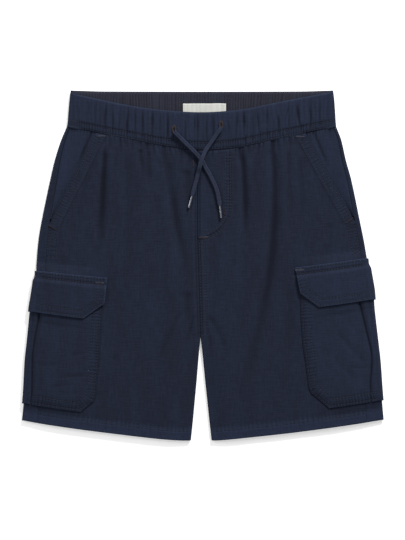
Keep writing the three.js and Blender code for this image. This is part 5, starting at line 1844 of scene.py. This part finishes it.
@dataclass
class CargoFlap:
    """A pocket's flap: a stitched strip along its top, then it hangs over the bag and round the side.

    Attributes:
        leg: Its leg's pattern lines.
        back: How far it goes under the leg.
        lift: Extra height that the bag's swell needs under it.
        hinge: Height of the stitched strip.
    """

    leg: Leg
    back: float = 46.0
    lift: float = 0.6
    hinge: float = 0.55
    rows: list[SewnRow] = field(default_factory=list)

    def __post_init__(self) -> None:
        """Lays out the strip's rows and the twin rows round its edge."""
        leg = self.leg
        fold, low_fold = (float(leg.meet(leg.line(3.0), np.array([row]), leg.back_y)[0][0])
                          for row in (leg.flap_top, leg.flap_bottom))
        side = np.array([(x, y) for y, x in reversed(leg.flap_inner.rows)])
        x = np.linspace(float(side[0, 0]) + leg.sign * 1.5, fold, 14)
        for share in (0.035, 0.145):
            path = points(x, leg.back_y(x, np.full_like(x, lerp(leg.flap_top, leg.flap_bottom, share))))
            self.rows.append(SewnRow(path, groove=0.2, pucker=0.16, reach=3.0, seed=131 + 3 * leg.sign))
        side[0, 1] = float(leg.back_y(side[0, 0], lerp(leg.flap_top, leg.flap_bottom, 0.16)))
        x = np.linspace(side[-1, 0], low_fold, 10)[1:]
        outline = np.vstack([side, points(x, leg.back_y(x, np.full_like(x, leg.flap_bottom)))])
        self.rows += twin_rows(outline, leg.sign * 1.9, leg.sign * 8.0, 141 + 3 * leg.sign, pucker=0.16, reach=4.5)

    def outside(self, x: Array, y: Array) -> Array:
        """Height of the flap's outside, on the front."""
        leg = self.leg
        share = (leg.row_of(x, y) - leg.flap_top) / (leg.flap_bottom - leg.flap_top)
        rise = ease(share, 0.1, 0.26)
        off = LAY_GAP + rise * (LAYER + self.lift) + SOLID_CLOTH
        hinge = self.hinge * (1 - ease(share, 0.115, 0.15))
        shown = ease(leg.inset(x, y), 2.5, 8)
        soft = 0.12 * Unevenness(151 + leg.sign)(x / 14, y / 11) + 0.04 * Unevenness(152)(x / 4, y / 4)
        sewn = sum(row.relief(x, y) for row in self.rows)
        return leg.front(x, y) + off + hinge + (soft + sewn) * shown

    def build(self, finishes: Finishes, kit: StitchKit) -> None:
        """Builds and dresses the flap and its sewing.

        Args:
            finishes: The materials.
            kit: The stitches.
        """
        leg = self.leg
        share = np.linspace(0, 1, 48)
        v = lerp(leg.flap_top, leg.flap_bottom, share)
        off = LAY_GAP + ease(share, 0.1, 0.26) * LAYER + SOLID_CLOTH
        columns = [leg.column(lambda h, s=s: lerp(leg.flap_inner(h), leg.line(EDGE_RADIUS)(h), s), v, self.outside)
                   for s in np.linspace(0, 1, 80)]
        over_side(f"flap_{leg.name}", leg, columns, leg.wrap(v, off, self.back), 0.08 if leg.sign < 0 else 0.26,
                  (True, True, True, False)).lay(f"cargo_flap_{leg.name}", finishes.cotton,
                                                 f"cargo_pocket_{leg.name}", slice(SEEN_COLUMNS))
        dress(kit.sew(f"flap_sewing_{leg.name}", self.rows, self.outside), finishes.thread, Slot.COTTON)
        tack = kit.tack(f"flap_tack_{leg.name}", [FLAP_TACKS[leg.sign]], self.outside)
        dress(tack, finishes.light, Slot.COTTON)


@dataclass
class Waistband:
    """The elasticated waistband, laid flat: a gathered front half over a ribbed back half.

    Attributes:
        cloth: Casing and elastic together, as the solids have them.
        radius: Outside of the folds at its ends.
        lift: How far the front half's inside rises from its ends to its middle.
        crown: How far the elastic's channel swells.
        strip: Share of the height up to the upper row of stitches.
        column: Spacing of the mesh's columns.
        thick: Thickness of the finished casing.
        fullness: How much longer the casing is before the elastic gathers it.
    """

    cloth: float = 2.2
    radius: float = BAND_RADIUS
    lift: float = 1.2
    crown: float = 0.9
    strip: float = 0.21
    column: float = 0.62
    thick: float = 1.3
    fullness: float = 1.2
    rows: list[SewnRow] = field(default_factory=list)

    def __post_init__(self) -> None:
        """Lays out the rows of stitches along the waist seam."""
        x = np.linspace(-140.5, 137.8, 70)
        for k, share in enumerate((0.035, 0.2)):
            y = lerp(seam_line(x), FRONT_TOP(x), share)
            self.rows.append(SewnRow(np.stack([x, y], axis=1), pitch=2.7, groove=0.2, pucker=0.1, reach=2.4,
                                     seed=161 + k))

    def _share(self, x: Array, y: Array) -> Array:
        """Share of the front half's height at a place."""
        return (y - seam_line(x)) / (FRONT_TOP(x) - seam_line(x))

    def inside(self, x: Array) -> Array:
        """Height of the front half's inside."""
        return 2 * self.radius - self.cloth + self.lift * (1 - ease(np.abs(x) / 140, 0.25, 0.95))

    def outside(self, x: Array, y: Array) -> Array:
        """Height of the front half's outside."""
        v = self._share(x, y)
        t = np.clip((v - self.strip) / (1 - self.strip), 0, 1)
        channel = np.sqrt(np.maximum(0, 1 - (2 * t - 1) ** 4))
        ends = ease(139 - np.abs(x), 0, 16)
        gathers = 0.0
        for start, lean, wide, deep in BAND_GATHERS:
            gathers = gathers + deep * np.exp(-(((x - start - lean * v) / wide) ** 2))
        lived = 0.62 + 0.38 * Unevenness(177)(x / 8, v * 2.6)
        gathers = 0.9 * lived * gathers * ease(v, -0.1, 0.25) * (1 - 0.45 * ease(v, 0.6, 1.0))
        wander = 3.2 * Unevenness(171)(x / 13, v * 2.4)
        fine = 0.36 * ripple(x, 2.75, 172) * ease(v, -0.02, 0.05) * (1 - ease(v, 0.17, 0.34))
        patchy = 0.5 + 0.5 * Unevenness(176)(x / 15, v * 1.7)
        upper = 0.20 * patchy * ripple(x, 5.6, 173, wander) * ease(v, 0.18, 0.34)
        small = 0.08 * (1 - patchy) * ripple(x, 2.7, 174, 0.8 * wander) * ease(v, 0.2, 0.3)
        roll = -0.9 * ease(v, 0.955, 1.0) ** 2
        lip = 0.16 * ripple(x, 2.6, 175) * ease(v, 0.86, 0.98)
        sewn = sum(row.relief(x, y) for row in self.rows)
        relief = self.crown * channel + fine + upper + small + lip - gathers + sewn
        top = lerp(band_foot(x), self.inside(x) + self.cloth, ease(v, -0.02, 0.08))
        return top + roll + ends * relief

    def _ribs(self, x: Array, y: Array) -> Array:
        """Height of the back half's inside, where its ribs show."""
        ends = ease(139 - np.abs(x), 2, 14)
        drift = 1.2 * Unevenness(181)(x / 14, y / 12)
        ribs = 0.5 + 0.5 * ripple(x, 2.9, 182, drift)
        folds = 0.25 * ripple(x, 8.5, 183, drift)
        roll = -0.7 * ease(y, float(BACK_TOP(0)) - 2.0, float(BACK_TOP(0))) ** 2
        return self.cloth + (0.55 * ribs + folds * 0.6 + roll) * ends

    def _curl(self, sign: int, y: Array, height: float, up: int, inset: float = 0.0) -> Array:
        """Shapes a band's end, which curls towards the other half.

        Args:
            sign: Which end.
            y: Its rows' heights up the garment.
            height: Height of the half's flat part.
            up: 1 for the front half and -1 for the back one.
            inset: How far inside the outside the points lie.

        Returns:
            Columns of points from the end inwards.
        """
        radius = self.radius - inset
        centre = BAND_ENDS[sign](y) - sign * self.radius
        angle = np.linspace(HALF_TURN - 0.07, 0, END_COLUMNS)
        return points(centre[:, None] + sign * radius * np.sin(angle), y[:, None],
                      height - up * self.radius + up * radius * np.cos(angle))

    def _half(self, row_y: Surface, surface: Surface, up: int, rows: int) -> Array:
        """Points of one half's outside.

        Args:
            row_y: Height y of a row at x.
            surface: Height of its outside.
            up: 1 for the front half and -1 for the back one.
            rows: How many rows.

        Returns:
            The grid.
        """
        v = np.linspace(0, 1, rows)
        height = 2 * self.radius if up > 0 else 0.0
        left, right = (self._curl(sign, row_y(BAND_ENDS[sign](row_y(np.zeros_like(v), v)), v), height, up)
                       for sign in (-1, 1))
        x = lerp(left[:, -1:, 0], right[:, -1:, 0], np.linspace(0, 1, int(276 / self.column))[1:-1])
        y = row_y(x, v[:, None])
        return np.concatenate([left, points(x, y, surface(x, y)), right[:, ::-1]], axis=1)

    def build_front(self, finishes: Finishes, kit: StitchKit) -> None:
        """Builds and dresses the front half and its sewing.

        Args:
            finishes: The materials.
            kit: The stitches.
        """
        grid = self._half(lambda x, v: lerp(seam_line(x), FRONT_TOP(x), v), self.outside, 1, 48)
        x, y = grid[..., 0], grid[..., 1]
        edge = 0.15 * (1 + ripple(x, 4.3, 173)) * ease(self._share(x, y), 0.2, 0.3) + 0.1
        shell = Shell("band_front", grid, self.thick, edge, lie_of_grain(grid), (True, True, False, False))
        shell.lay("waistband_front", finishes.cotton, "waistband_back", fullness=self.fullness)
        dress(kit.sew("band_sewing", self.rows, self.outside), finishes.thread, Slot.COTTON)

    def build_back(self, finishes: Finishes) -> None:
        """Builds and dresses the back half; its ribbed inside shows above the front's edge.

        Args:
            finishes: The materials.
        """
        floor = self._half(lambda x, v: lerp(WAIST_SIDE_Y, BACK_TOP(x), v), self._ribs, 1, 34)
        heights = {-1: floor[:, 0, 1].copy(), 1: floor[:, -1, 1].copy()}
        floor[:, :END_COLUMNS] = self._curl(-1, heights[-1], 0.0, -1)
        floor[:, -END_COLUMNS:] = self._curl(1, heights[1], 0.0, -1)[:, ::-1]
        whole = Shell("band_back_flat", floor.copy(), self.thick, np.zeros(floor.shape[:2]), floor[..., :2])
        middle = floor[:, END_COLUMNS:-END_COLUMNS]
        ribs, x, y = middle.copy(), middle[..., 0], middle[..., 1]
        drift = 1.5 * Unevenness(186)(x / 14, y / 12)
        edges = ease(139 - np.abs(x), 2, 14) * ease(y, WAIST_SIDE_Y, WAIST_SIDE_Y + 3)
        middle[..., 2] = 0.35 * (1 + ripple(x, 4.6, 187, drift)) * edges
        left, right = (self._curl(sign, heights[sign], 0.0, -1, self.thick) for sign in (-1, 1))
        for side in (left, right):
            side[..., 2] += ease(np.linspace(HALF_TURN - 0.07, 0, END_COLUMNS), HALF_TURN, 0) * (self.cloth - self.thick)
        piece = self._wall("band_back", np.concatenate([left, ribs, right[:, ::-1]], axis=1), floor)
        dress(piece, finishes.inside, Slot.COTTON, "waistband_back")
        piece.data.materials.append(finishes.cotton)
        centre = np.empty(len(piece.data.polygons) * 3, dtype=np.float32)
        piece.data.polygons.foreach_get("center", centre)
        centre = centre.reshape(-1, 3)
        outer = (centre[:, 2] < 1.2 * MM) | (np.abs(centre[:, 0]) > 137.5 * MM)
        piece.data.polygons.foreach_set("material_index", outer.astype(np.int32))
        declare(piece, whole.flat(self.fullness), whole.area(self.fullness))

    @staticmethod
    def _wall(name: str, top: Array, floor: Array) -> bpy.types.Object:
        """Builds a closed wall between two grids of the same size, with its grain, its wear with painted highlight on
        the ribs' crests, and painted shade in its troughs.

        Args:
            name: The piece's name.
            top: Its upper face.
            floor: Its lower face.

        Returns:
            The wall.
        """
        rows, columns = top.shape[:2]
        size = rows * columns
        number = np.arange(size).reshape(rows, columns)
        loop = np.array([*number[0, :-1], *number[:-1, -1], *number[-1, :0:-1], *number[:0:-1, 0]])
        onward = np.roll(loop, -1)
        rim = np.stack([loop, onward, onward + size, loop + size], axis=1)
        faces = np.concatenate([quads(number)[:, ::-1], quads(number + size), rim]).tolist()
        made = mesh_object(name, np.concatenate([flat_list(top), flat_list(floor)]), faces)
        rim_wear = np.exp(-(((float(top[-1, columns // 2, 1]) - top[..., 1]) / 1.3) ** 2))
        # Painted highlight: the ribs' crests are lightened.
        crest = 0.35 * (0.5 + 0.5 * ripple(top[..., 0], 2.9, 182))
        # Painted shade: the troughs between the ribs and the broad dips are darkened.
        close = np.clip(sunk(top, 2.2) / 0.25, 0, 1) * 0.6 + np.clip(sunk(top, 8.0) / 0.6, 0, 1) * 0.4
        hidden = np.zeros(size)
        paint(made, np.concatenate([flat_list(lie_of_grain(top)), flat_list(lie_of_grain(floor))]),
              np.concatenate([np.maximum(rim_wear, crest).ravel(), hidden]),
              np.concatenate([np.clip(close, 0, 1).ravel(), hidden]))
        return made


@dataclass
class NeckLabel:
    """The blank woven label inside the back of the waist."""

    left: float = -20.9
    right: float = 24.3
    bottom: float = 157.0
    top: float = 170.0
    base: float = 3.0
    thick: float = 0.55

    def _outside(self, x: Array, y: Array) -> Array:
        """Height of its face, slightly rippled where the ribs lie under it."""
        under = 0.12 * ripple(x, 5.6, 191) + 0.1 * Unevenness(192)(x / 9, y / 7)
        ends = np.minimum(x - self.left, self.right - x)
        folded = 0.16 * (1 - ease(ends, 3.4, 4.2))
        return self.base + 0.72 + under + folded - 0.15 * np.exp(-((ends / 0.6) ** 2))

    def build(self, finishes: Finishes, kit: StitchKit) -> None:
        """Builds and dresses the label and the stitches at its ends."""
        x, y = np.meshgrid(np.linspace(self.left, self.right, 90), np.linspace(self.top, self.bottom, 28))
        uneven = 0.18 * Unevenness(193)(x / 8) * np.exp(-(((self.top - y) / 3) ** 2))
        grid = np.stack([x, y + uneven, self._outside(x, y)], axis=-1)
        shell = Shell("woven_label", grid, self.thick, np.zeros(x.shape), lie_of_grain(grid))
        piece = dress(shell.build(), finishes.tape, Slot.LABEL, "label")
        y = np.array([self.bottom + 1, self.top - 1])
        rows = [SewnRow(np.stack([np.full(2, x), y], axis=1), pitch=2.2) for x in (self.left + 2, self.right - 2)]
        dress(kit.sew("label_sewing", rows, self._outside, 0.4), finishes.tape, Slot.LABEL)
        log.info("%s: bare, %.1f x %.1f mm", piece.name, self.right - self.left, self.top - self.bottom)


@dataclass
class Drawstring:
    """One free end of the drawstring: its eyelet, its braided cord and its metal tip.

    Attributes:
        name: left or right.
        route: Its line in plan, from the eyelet to the tip.
        over: Whether it passes over the other end.
        surface: Height of the cloth that it lies on.
    """

    name: str
    route: tuple[tuple[float, float], ...]
    over: bool
    surface: Surface
    wide: float = 4.6
    flat: float = 0.62
    crossing: tuple[float, float, float] = (-0.9, 109.5, 15.0)
    tip_radius: float = 1.7
    tip_length: float = 13.4
    eyelet_wide: float = 5.4
    eyelet_tall: float = 9.6
    eyelet_above: float = 2.4

    def line(self) -> Array:
        """The cord's middle, lying on the cloth and lifted over the other end."""
        plan = np.array(self.route)
        last = len(plan) - 1
        index = np.arange(last + 1)
        thick = self.wide * self.flat
        far = np.hypot(plan[:, 0] - self.crossing[0], plan[:, 1] - self.crossing[1])
        over = (1 - ease(far, 5, self.crossing[2])) * (thick + SEAM_GAP) if self.over else 0
        on_eyelet = (1 - ease(index, 0.5, 3)) * (0.9 + SEAM_GAP)
        tip = ease(index, last - 2, last) * (self.tip_radius - thick / 2)
        z = self.surface(plan[:, 0], plan[:, 1]) + SEAM_GAP + thick / 2 + over + on_eyelet + tip
        return np.column_stack([plan, z])

    def smooth(self, step: float = 0.45) -> Array:
        """The same line with its points a step apart."""
        marks = self.line()
        run = run_of(marks)
        even = np.linspace(0, run[-1], int(run[-1] / step))
        return np.column_stack([Marks(tuple(zip(run, marks[:, k])))(even) for k in range(3)])

    def build(self, finishes: Finishes) -> None:
        """Args:
            finishes: The materials.
        """
        line = self.smooth()
        tip = dress(self._tip(line), finishes.steel, Slot.METAL, f"aglet_{self.name}")
        cord = dress(self._cord(line), finishes.cord, Slot.CORD, f"drawstring_{self.name}")
        for part in (self._eyelet(), self._rim()):
            dress(part, finishes.rust, Slot.THREAD, f"eyelet_{self.name}")

    def _cord(self, line: Array) -> bpy.types.Object:
        """Builds the braided cord: a soft flattened tube with strands in relief.

        Args:
            line: Its middle.

        Returns:
            The cord.
        """
        ahead = unit(np.gradient(line, axis=0))
        side = unit(np.cross(ahead, (0.0, 0.0, 1.0)))
        up = np.cross(side, ahead)
        run = run_of(line)
        around = np.linspace(0, 2 * math.pi, CORD_SIDES, endpoint=False)
        left = run[-1] - run
        half_wide = self.wide / 2 * lerp(0.74, 1.0, ease(left, 0.0, 3.2)) * (1 + 0.04 * Unevenness(201)(run / 7))
        half_thick = self.wide * self.flat / 2 * lerp(1.05, 1.0, ease(left, 0, 3))
        braid = np.maximum(*(np.abs(np.sin(math.pi * run[:, None] / 2.3 + way * around)) for way in (3, -3)))
        shape = 1 - 0.11 * (1 - braid)
        cos, sin = np.cos(around), np.sin(around)
        square = (np.abs(cos) ** 2.6 + np.abs(sin) ** 2.6) ** (-1 / 2.6)
        x = half_wide[:, None] * (cos * square) * shape
        z = half_thick[:, None] * (sin * square) * shape
        z -= 0.42 * np.exp(-((x / 0.55) ** 2)) * np.sign(sin)
        tube = line[:, None, :] + x[..., None] * side[:, None, :] + z[..., None] * up[:, None, :]
        number = np.arange(len(line) * CORD_SIDES).reshape(len(line), CORD_SIDES)
        faces = quads(np.column_stack([number, number[:, 0]])).tolist() + [number[0, ::-1].tolist(), number[-1].tolist()]
        made = mesh_object(f"cord_{self.name}", flat_list(tube), faces)
        bpy.ops.object.select_all(action="DESELECT")
        made.select_set(True)
        bpy.context.view_layer.objects.active = made
        bpy.ops.object.mode_set(mode="EDIT")
        bpy.ops.mesh.select_all(action="SELECT")
        bpy.ops.mesh.normals_make_consistent(inside=False)
        bpy.ops.object.mode_set(mode="OBJECT")
        paint(made, flat_list(points(around * self.wide / 2, run[:, None])))
        return made

    def _tip(self, line: Array) -> bpy.types.Object:
        """Builds the metal tip: a crimped tube, recessed where the cord goes in and rounded at its end.

        Args:
            line: The cord's middle.

        Returns:
            The tip.
        """
        radius, length = self.tip_radius * 0.7 * MM, self.tip_length * MM
        bpy.ops.object.select_all(action="DESELECT")
        bpy.ops.mesh.primitive_cylinder_add(vertices=32, radius=radius, depth=length, location=(0, 0, length / 2))
        made = bpy.context.active_object
        made.name = f"cord_tip_{self.name}"
        made.data.transform(made.matrix_world)
        made.matrix_world = Matrix.Identity(4)
        bpy.ops.object.mode_set(mode="EDIT")
        for height in (0.9, 1.5, 2.1, 4.6, 5.2, 5.8):
            bpy.ops.mesh.select_all(action="SELECT")
            bpy.ops.mesh.bisect(plane_co=(0, 0, height * MM), plane_no=(0, 0, 1))
        self._pick(made, "VERT", lambda v: abs(v.co.z - 1.5 * MM) < 1e-5 or abs(v.co.z - 5.2 * MM) < 1e-5)
        bpy.ops.transform.resize(value=(0.88, 0.88, 1.0))
        self._pick(made, "FACE", lambda face: face.normal.z > 0.9)
        bpy.ops.mesh.bevel(offset=0.75 * MM, segments=4, affect="EDGES")
        self._pick(made, "FACE", lambda face: face.normal.z < -0.9)
        bpy.ops.mesh.inset(thickness=0.28 * MM)
        bpy.ops.mesh.extrude_region_move(TRANSFORM_OT_translate={"value": (0, 0, 0.9 * MM)})
        bpy.ops.object.mode_set(mode="OBJECT")
        bpy.ops.object.shade_smooth_by_angle(angle=math.radians(40))
        ahead = Vector(line[-1] - line[-6])
        ahead.z = 0
        ahead.normalize()
        start = Vector(line[-1]) + ahead * SEAM_GAP
        end = start + ahead * self.tip_length
        rest = float(self.surface(np.array([end.x]), np.array([end.y]))[0]) + SEAM_GAP + self.tip_radius * 0.8
        start.z = max(start.z, rest)
        turn = Vector((0, 0, 1)).rotation_difference(ahead).to_matrix().to_4x4()
        made.data.transform(Matrix.Translation((start - ahead * 0.9) * MM) @ turn)
        return made

    @staticmethod
    def _pick(made: bpy.types.Object, kind: str, wanted: Callable[[object], bool]) -> None:
        """Selects parts of a mesh in edit mode.

        Args:
            made: The object.
            kind: VERT or FACE.
            wanted: Whether a vertex or face is to be selected.
        """
        bpy.ops.mesh.select_mode(type=kind)
        mesh = bmesh.from_edit_mesh(made.data)
        mesh.normal_update()
        for part in (mesh.verts, mesh.edges, mesh.faces):
            for item in part:
                item.select = False
        for item in mesh.verts if kind == "VERT" else mesh.faces:
            if wanted(item):
                item.select_set(True)
        if kind == "VERT":
            mesh.select_flush_mode()
        bmesh.update_edit_mesh(made.data)

    def _middle(self) -> Array:
        """The eyelet's middle, in plan."""
        return np.array(self.route[0]) + (0.0, self.eyelet_above)

    def _rim(self) -> bpy.types.Object:
        """Builds the oval gimp under the eyelet's stitches."""
        centre = self._middle()
        wide, tall = self.eyelet_wide / 2 - 0.9, self.eyelet_tall / 2 - 0.9
        height = float(self.surface(centre[:1], centre[1:])[0])
        bpy.ops.object.select_all(action="DESELECT")
        bpy.ops.mesh.primitive_torus_add(major_segments=40, minor_segments=10, major_radius=1.0 * MM,
                                         minor_radius=0.16 * MM)
        made = bpy.context.active_object
        made.name = f"eyelet_gimp_{self.name}"
        bpy.ops.object.mode_set(mode="EDIT")
        bpy.ops.mesh.select_all(action="SELECT")
        bpy.ops.transform.resize(value=(wide, tall, 2.2))
        bpy.ops.transform.translate(value=(centre[0] * MM, centre[1] * MM, (height + 0.2) * MM))
        bpy.ops.mesh.normals_make_consistent(inside=False)
        bpy.ops.object.mode_set(mode="OBJECT")
        made.data.shade_smooth()
        return made

    def _eyelet(self) -> bpy.types.Object:
        """Builds the worked eyelet: thread wrapped round an oval hole."""
        centre, half = self._middle(), np.array([self.eyelet_wide, self.eyelet_tall]) / 2
        angle = np.linspace(0, 2 * math.pi, EYELET_STITCHES, endpoint=False)
        out = np.stack([np.cos(angle), np.sin(angle)], axis=1)
        outer, inner = centre + out * (half - 1.05), centre + out * (half - 1.3)
        height = self.surface(outer[:, 0], outer[:, 1]) + 0.35
        middles = np.concatenate([np.column_stack([outer, height]), np.column_stack([inner, height - 0.25])])
        along = np.column_stack([out * half[::-1], np.zeros(len(out))])
        size = np.tile((2.3, 0.55, 0.75), (len(out), 1))
        return StitchKit().copies(f"worked_eyelet_{self.name}", middles, np.tile(along, (2, 1)),
                                  np.tile((0.0, 0.0, 1.0), (len(middles), 1)), np.concatenate([size, size * 0.9]))


@dataclass
class Studio:
    """A plain pale floor, soft light from above the waistband, and the camera straight overhead.

    Attributes:
        lens: Focal length.
        above: The camera's height.
        aim: Where it looks, across and along.
    """

    lens: float = 200.0
    above: float = 3.156
    aim: tuple[float, float] = (-0.00037, -0.00483)

    def camera(self) -> None:
        """Makes the camera."""
        data = bpy.data.cameras.new("overhead")
        data.type = "PERSP"
        data.lens = self.lens
        data.sensor_width = 36.0
        data.clip_end = 20.0
        made = bpy.data.objects.new("overhead", data)
        made.location = (*self.aim, self.above)
        bpy.context.collection.objects.link(made)
        bpy.context.scene.camera = made

    def floor(self) -> None:
        """Makes the paper that the shorts lie on."""
        bpy.ops.object.select_all(action="DESELECT")
        bpy.ops.mesh.primitive_plane_add(size=6.0, location=(0, 0, -0.0003))
        paper = bpy.context.active_object
        paper.name = "paper"
        material = bpy.data.materials.new("white_paper")
        material.use_nodes = True
        graph = Graph(material.node_tree)
        tone = graph.noise(graph.node("ShaderNodeTexCoord").outputs["Object"], 3.0)
        graph.feed(material.node_tree.nodes["Principled BSDF"], {
            "Base Color": graph.mix(tone, (0.90, 0.90, 0.90), (0.93, 0.93, 0.93)), "Roughness": 0.9,
            "Specular IOR Level": 0.1, "Emission Color": (1.0, 1.0, 1.0, 1.0), "Emission Strength": 0.38})
        paper.data.materials.append(material)

    def light(self) -> None:
        """Makes the soft light."""
        world = bpy.data.worlds.new("studio")
        world.use_nodes = True
        world.node_tree.nodes["Background"].inputs[0].default_value = (1.0, 1.0, 1.0, 1.0)
        world.node_tree.nodes["Background"].inputs[1].default_value = 0.42
        bpy.context.scene.world = world
        for name, place, size, power in (("key", (1.1, 2.5, 1.75), 0.9, 135.0), ("fill", (-2.0, 1.0, 2.0), 1.4, 22.0)):
            data = bpy.data.lights.new(name, "AREA")
            data.shape = "DISK"
            data.size = size
            data.energy = power
            lamp = bpy.data.objects.new(name, data)
            lamp.location = place
            lamp.rotation_mode = "QUATERNION"
            lamp.rotation_quaternion = (-Vector(place)).to_track_quat("-Z", "Y")
            bpy.context.collection.objects.link(lamp)
        view = bpy.context.scene.view_settings
        view.view_transform = "Standard"
        view.look = "None"


LEFT_ROUTE = ((-30.2, 140.4), (-27.6, 137.6), (-22.5, 132.6), (-16.1, 126.2), (-9.6, 120.0), (-4.3, 114.3),
              (-0.6, 109.3), (3.0, 102.5), (6.6, 96.4), (9.4, 90.7), (12.6, 84.3), (14.9, 77.9), (16.4, 71.5),
              (17.3, 66.2), (17.8, 62.2))
RIGHT_ROUTE = ((19.2, 145.0), (17.6, 141.6), (14.6, 137.6), (11.2, 132.6), (7.2, 126.8), (3.0, 120.7), (0.5, 115.2),
               (-1.5, 109.8), (-3.4, 103.2), (-5.2, 96.2), (-7.3, 88.0), (-9.7, 78.9), (-11.5, 72.4))


class Shorts:
    """The whole garment."""

    def __init__(self) -> None:
        """Prepares the pieces, which lie on each other."""
        self.finishes = Finishes()
        self.kit = StitchKit()
        self.band = Waistband()
        self.fronts = {leg.name: FrontPanel(leg) for leg in LEGS}

    def cord_bed(self, x: Array, y: Array) -> Array:
        """Height of the solid cloth that the drawstring's solids lie on."""
        v = (y - seam_line(x)) / (FRONT_TOP(x) - seam_line(x))
        crown = self.band.inside(x) + self.band.cloth + self.band.crown + 0.21
        left, right = (front.leg.front(x, y) + front.doubled(x, y) for front in self.fronts.values())
        return lerp(np.where(x < LEFT_LEG.inner(y), left, right), crown, ease(v, -0.12, 0))

    def drawstring(self) -> None:
        """Builds both free ends of the drawstring."""
        for name, route, over in (("left", LEFT_ROUTE, False), ("right", RIGHT_ROUTE, True)):
            Drawstring(name, route, over, self.cord_bed).build(self.finishes)

    def cloth(self) -> None:
        """Builds every piece of cloth with its sewing."""
        for leg in LEGS:
            BackPanel(leg).build(self.finishes, self.kit)
            self.fronts[leg.name].build(self.finishes, self.kit)
            HipFacing(leg).build(self.finishes)
            CargoPocket(leg).build(self.finishes, self.kit)
            CargoFlap(leg).build(self.finishes, self.kit)
        self.band.build_back(self.finishes)
        self.band.build_front(self.finishes, self.kit)
        NeckLabel().build(self.finishes, self.kit)


def main() -> None:
    """Builds the scene, piece by piece."""
    logging.basicConfig(level=logging.INFO, format="%(message)s")
    studio = Studio()
    studio.camera()
    shorts = Shorts()
    shorts.drawstring()
    shorts.cloth()
    studio.floor()
    studio.light()


if __name__ == "__main__":
    main()
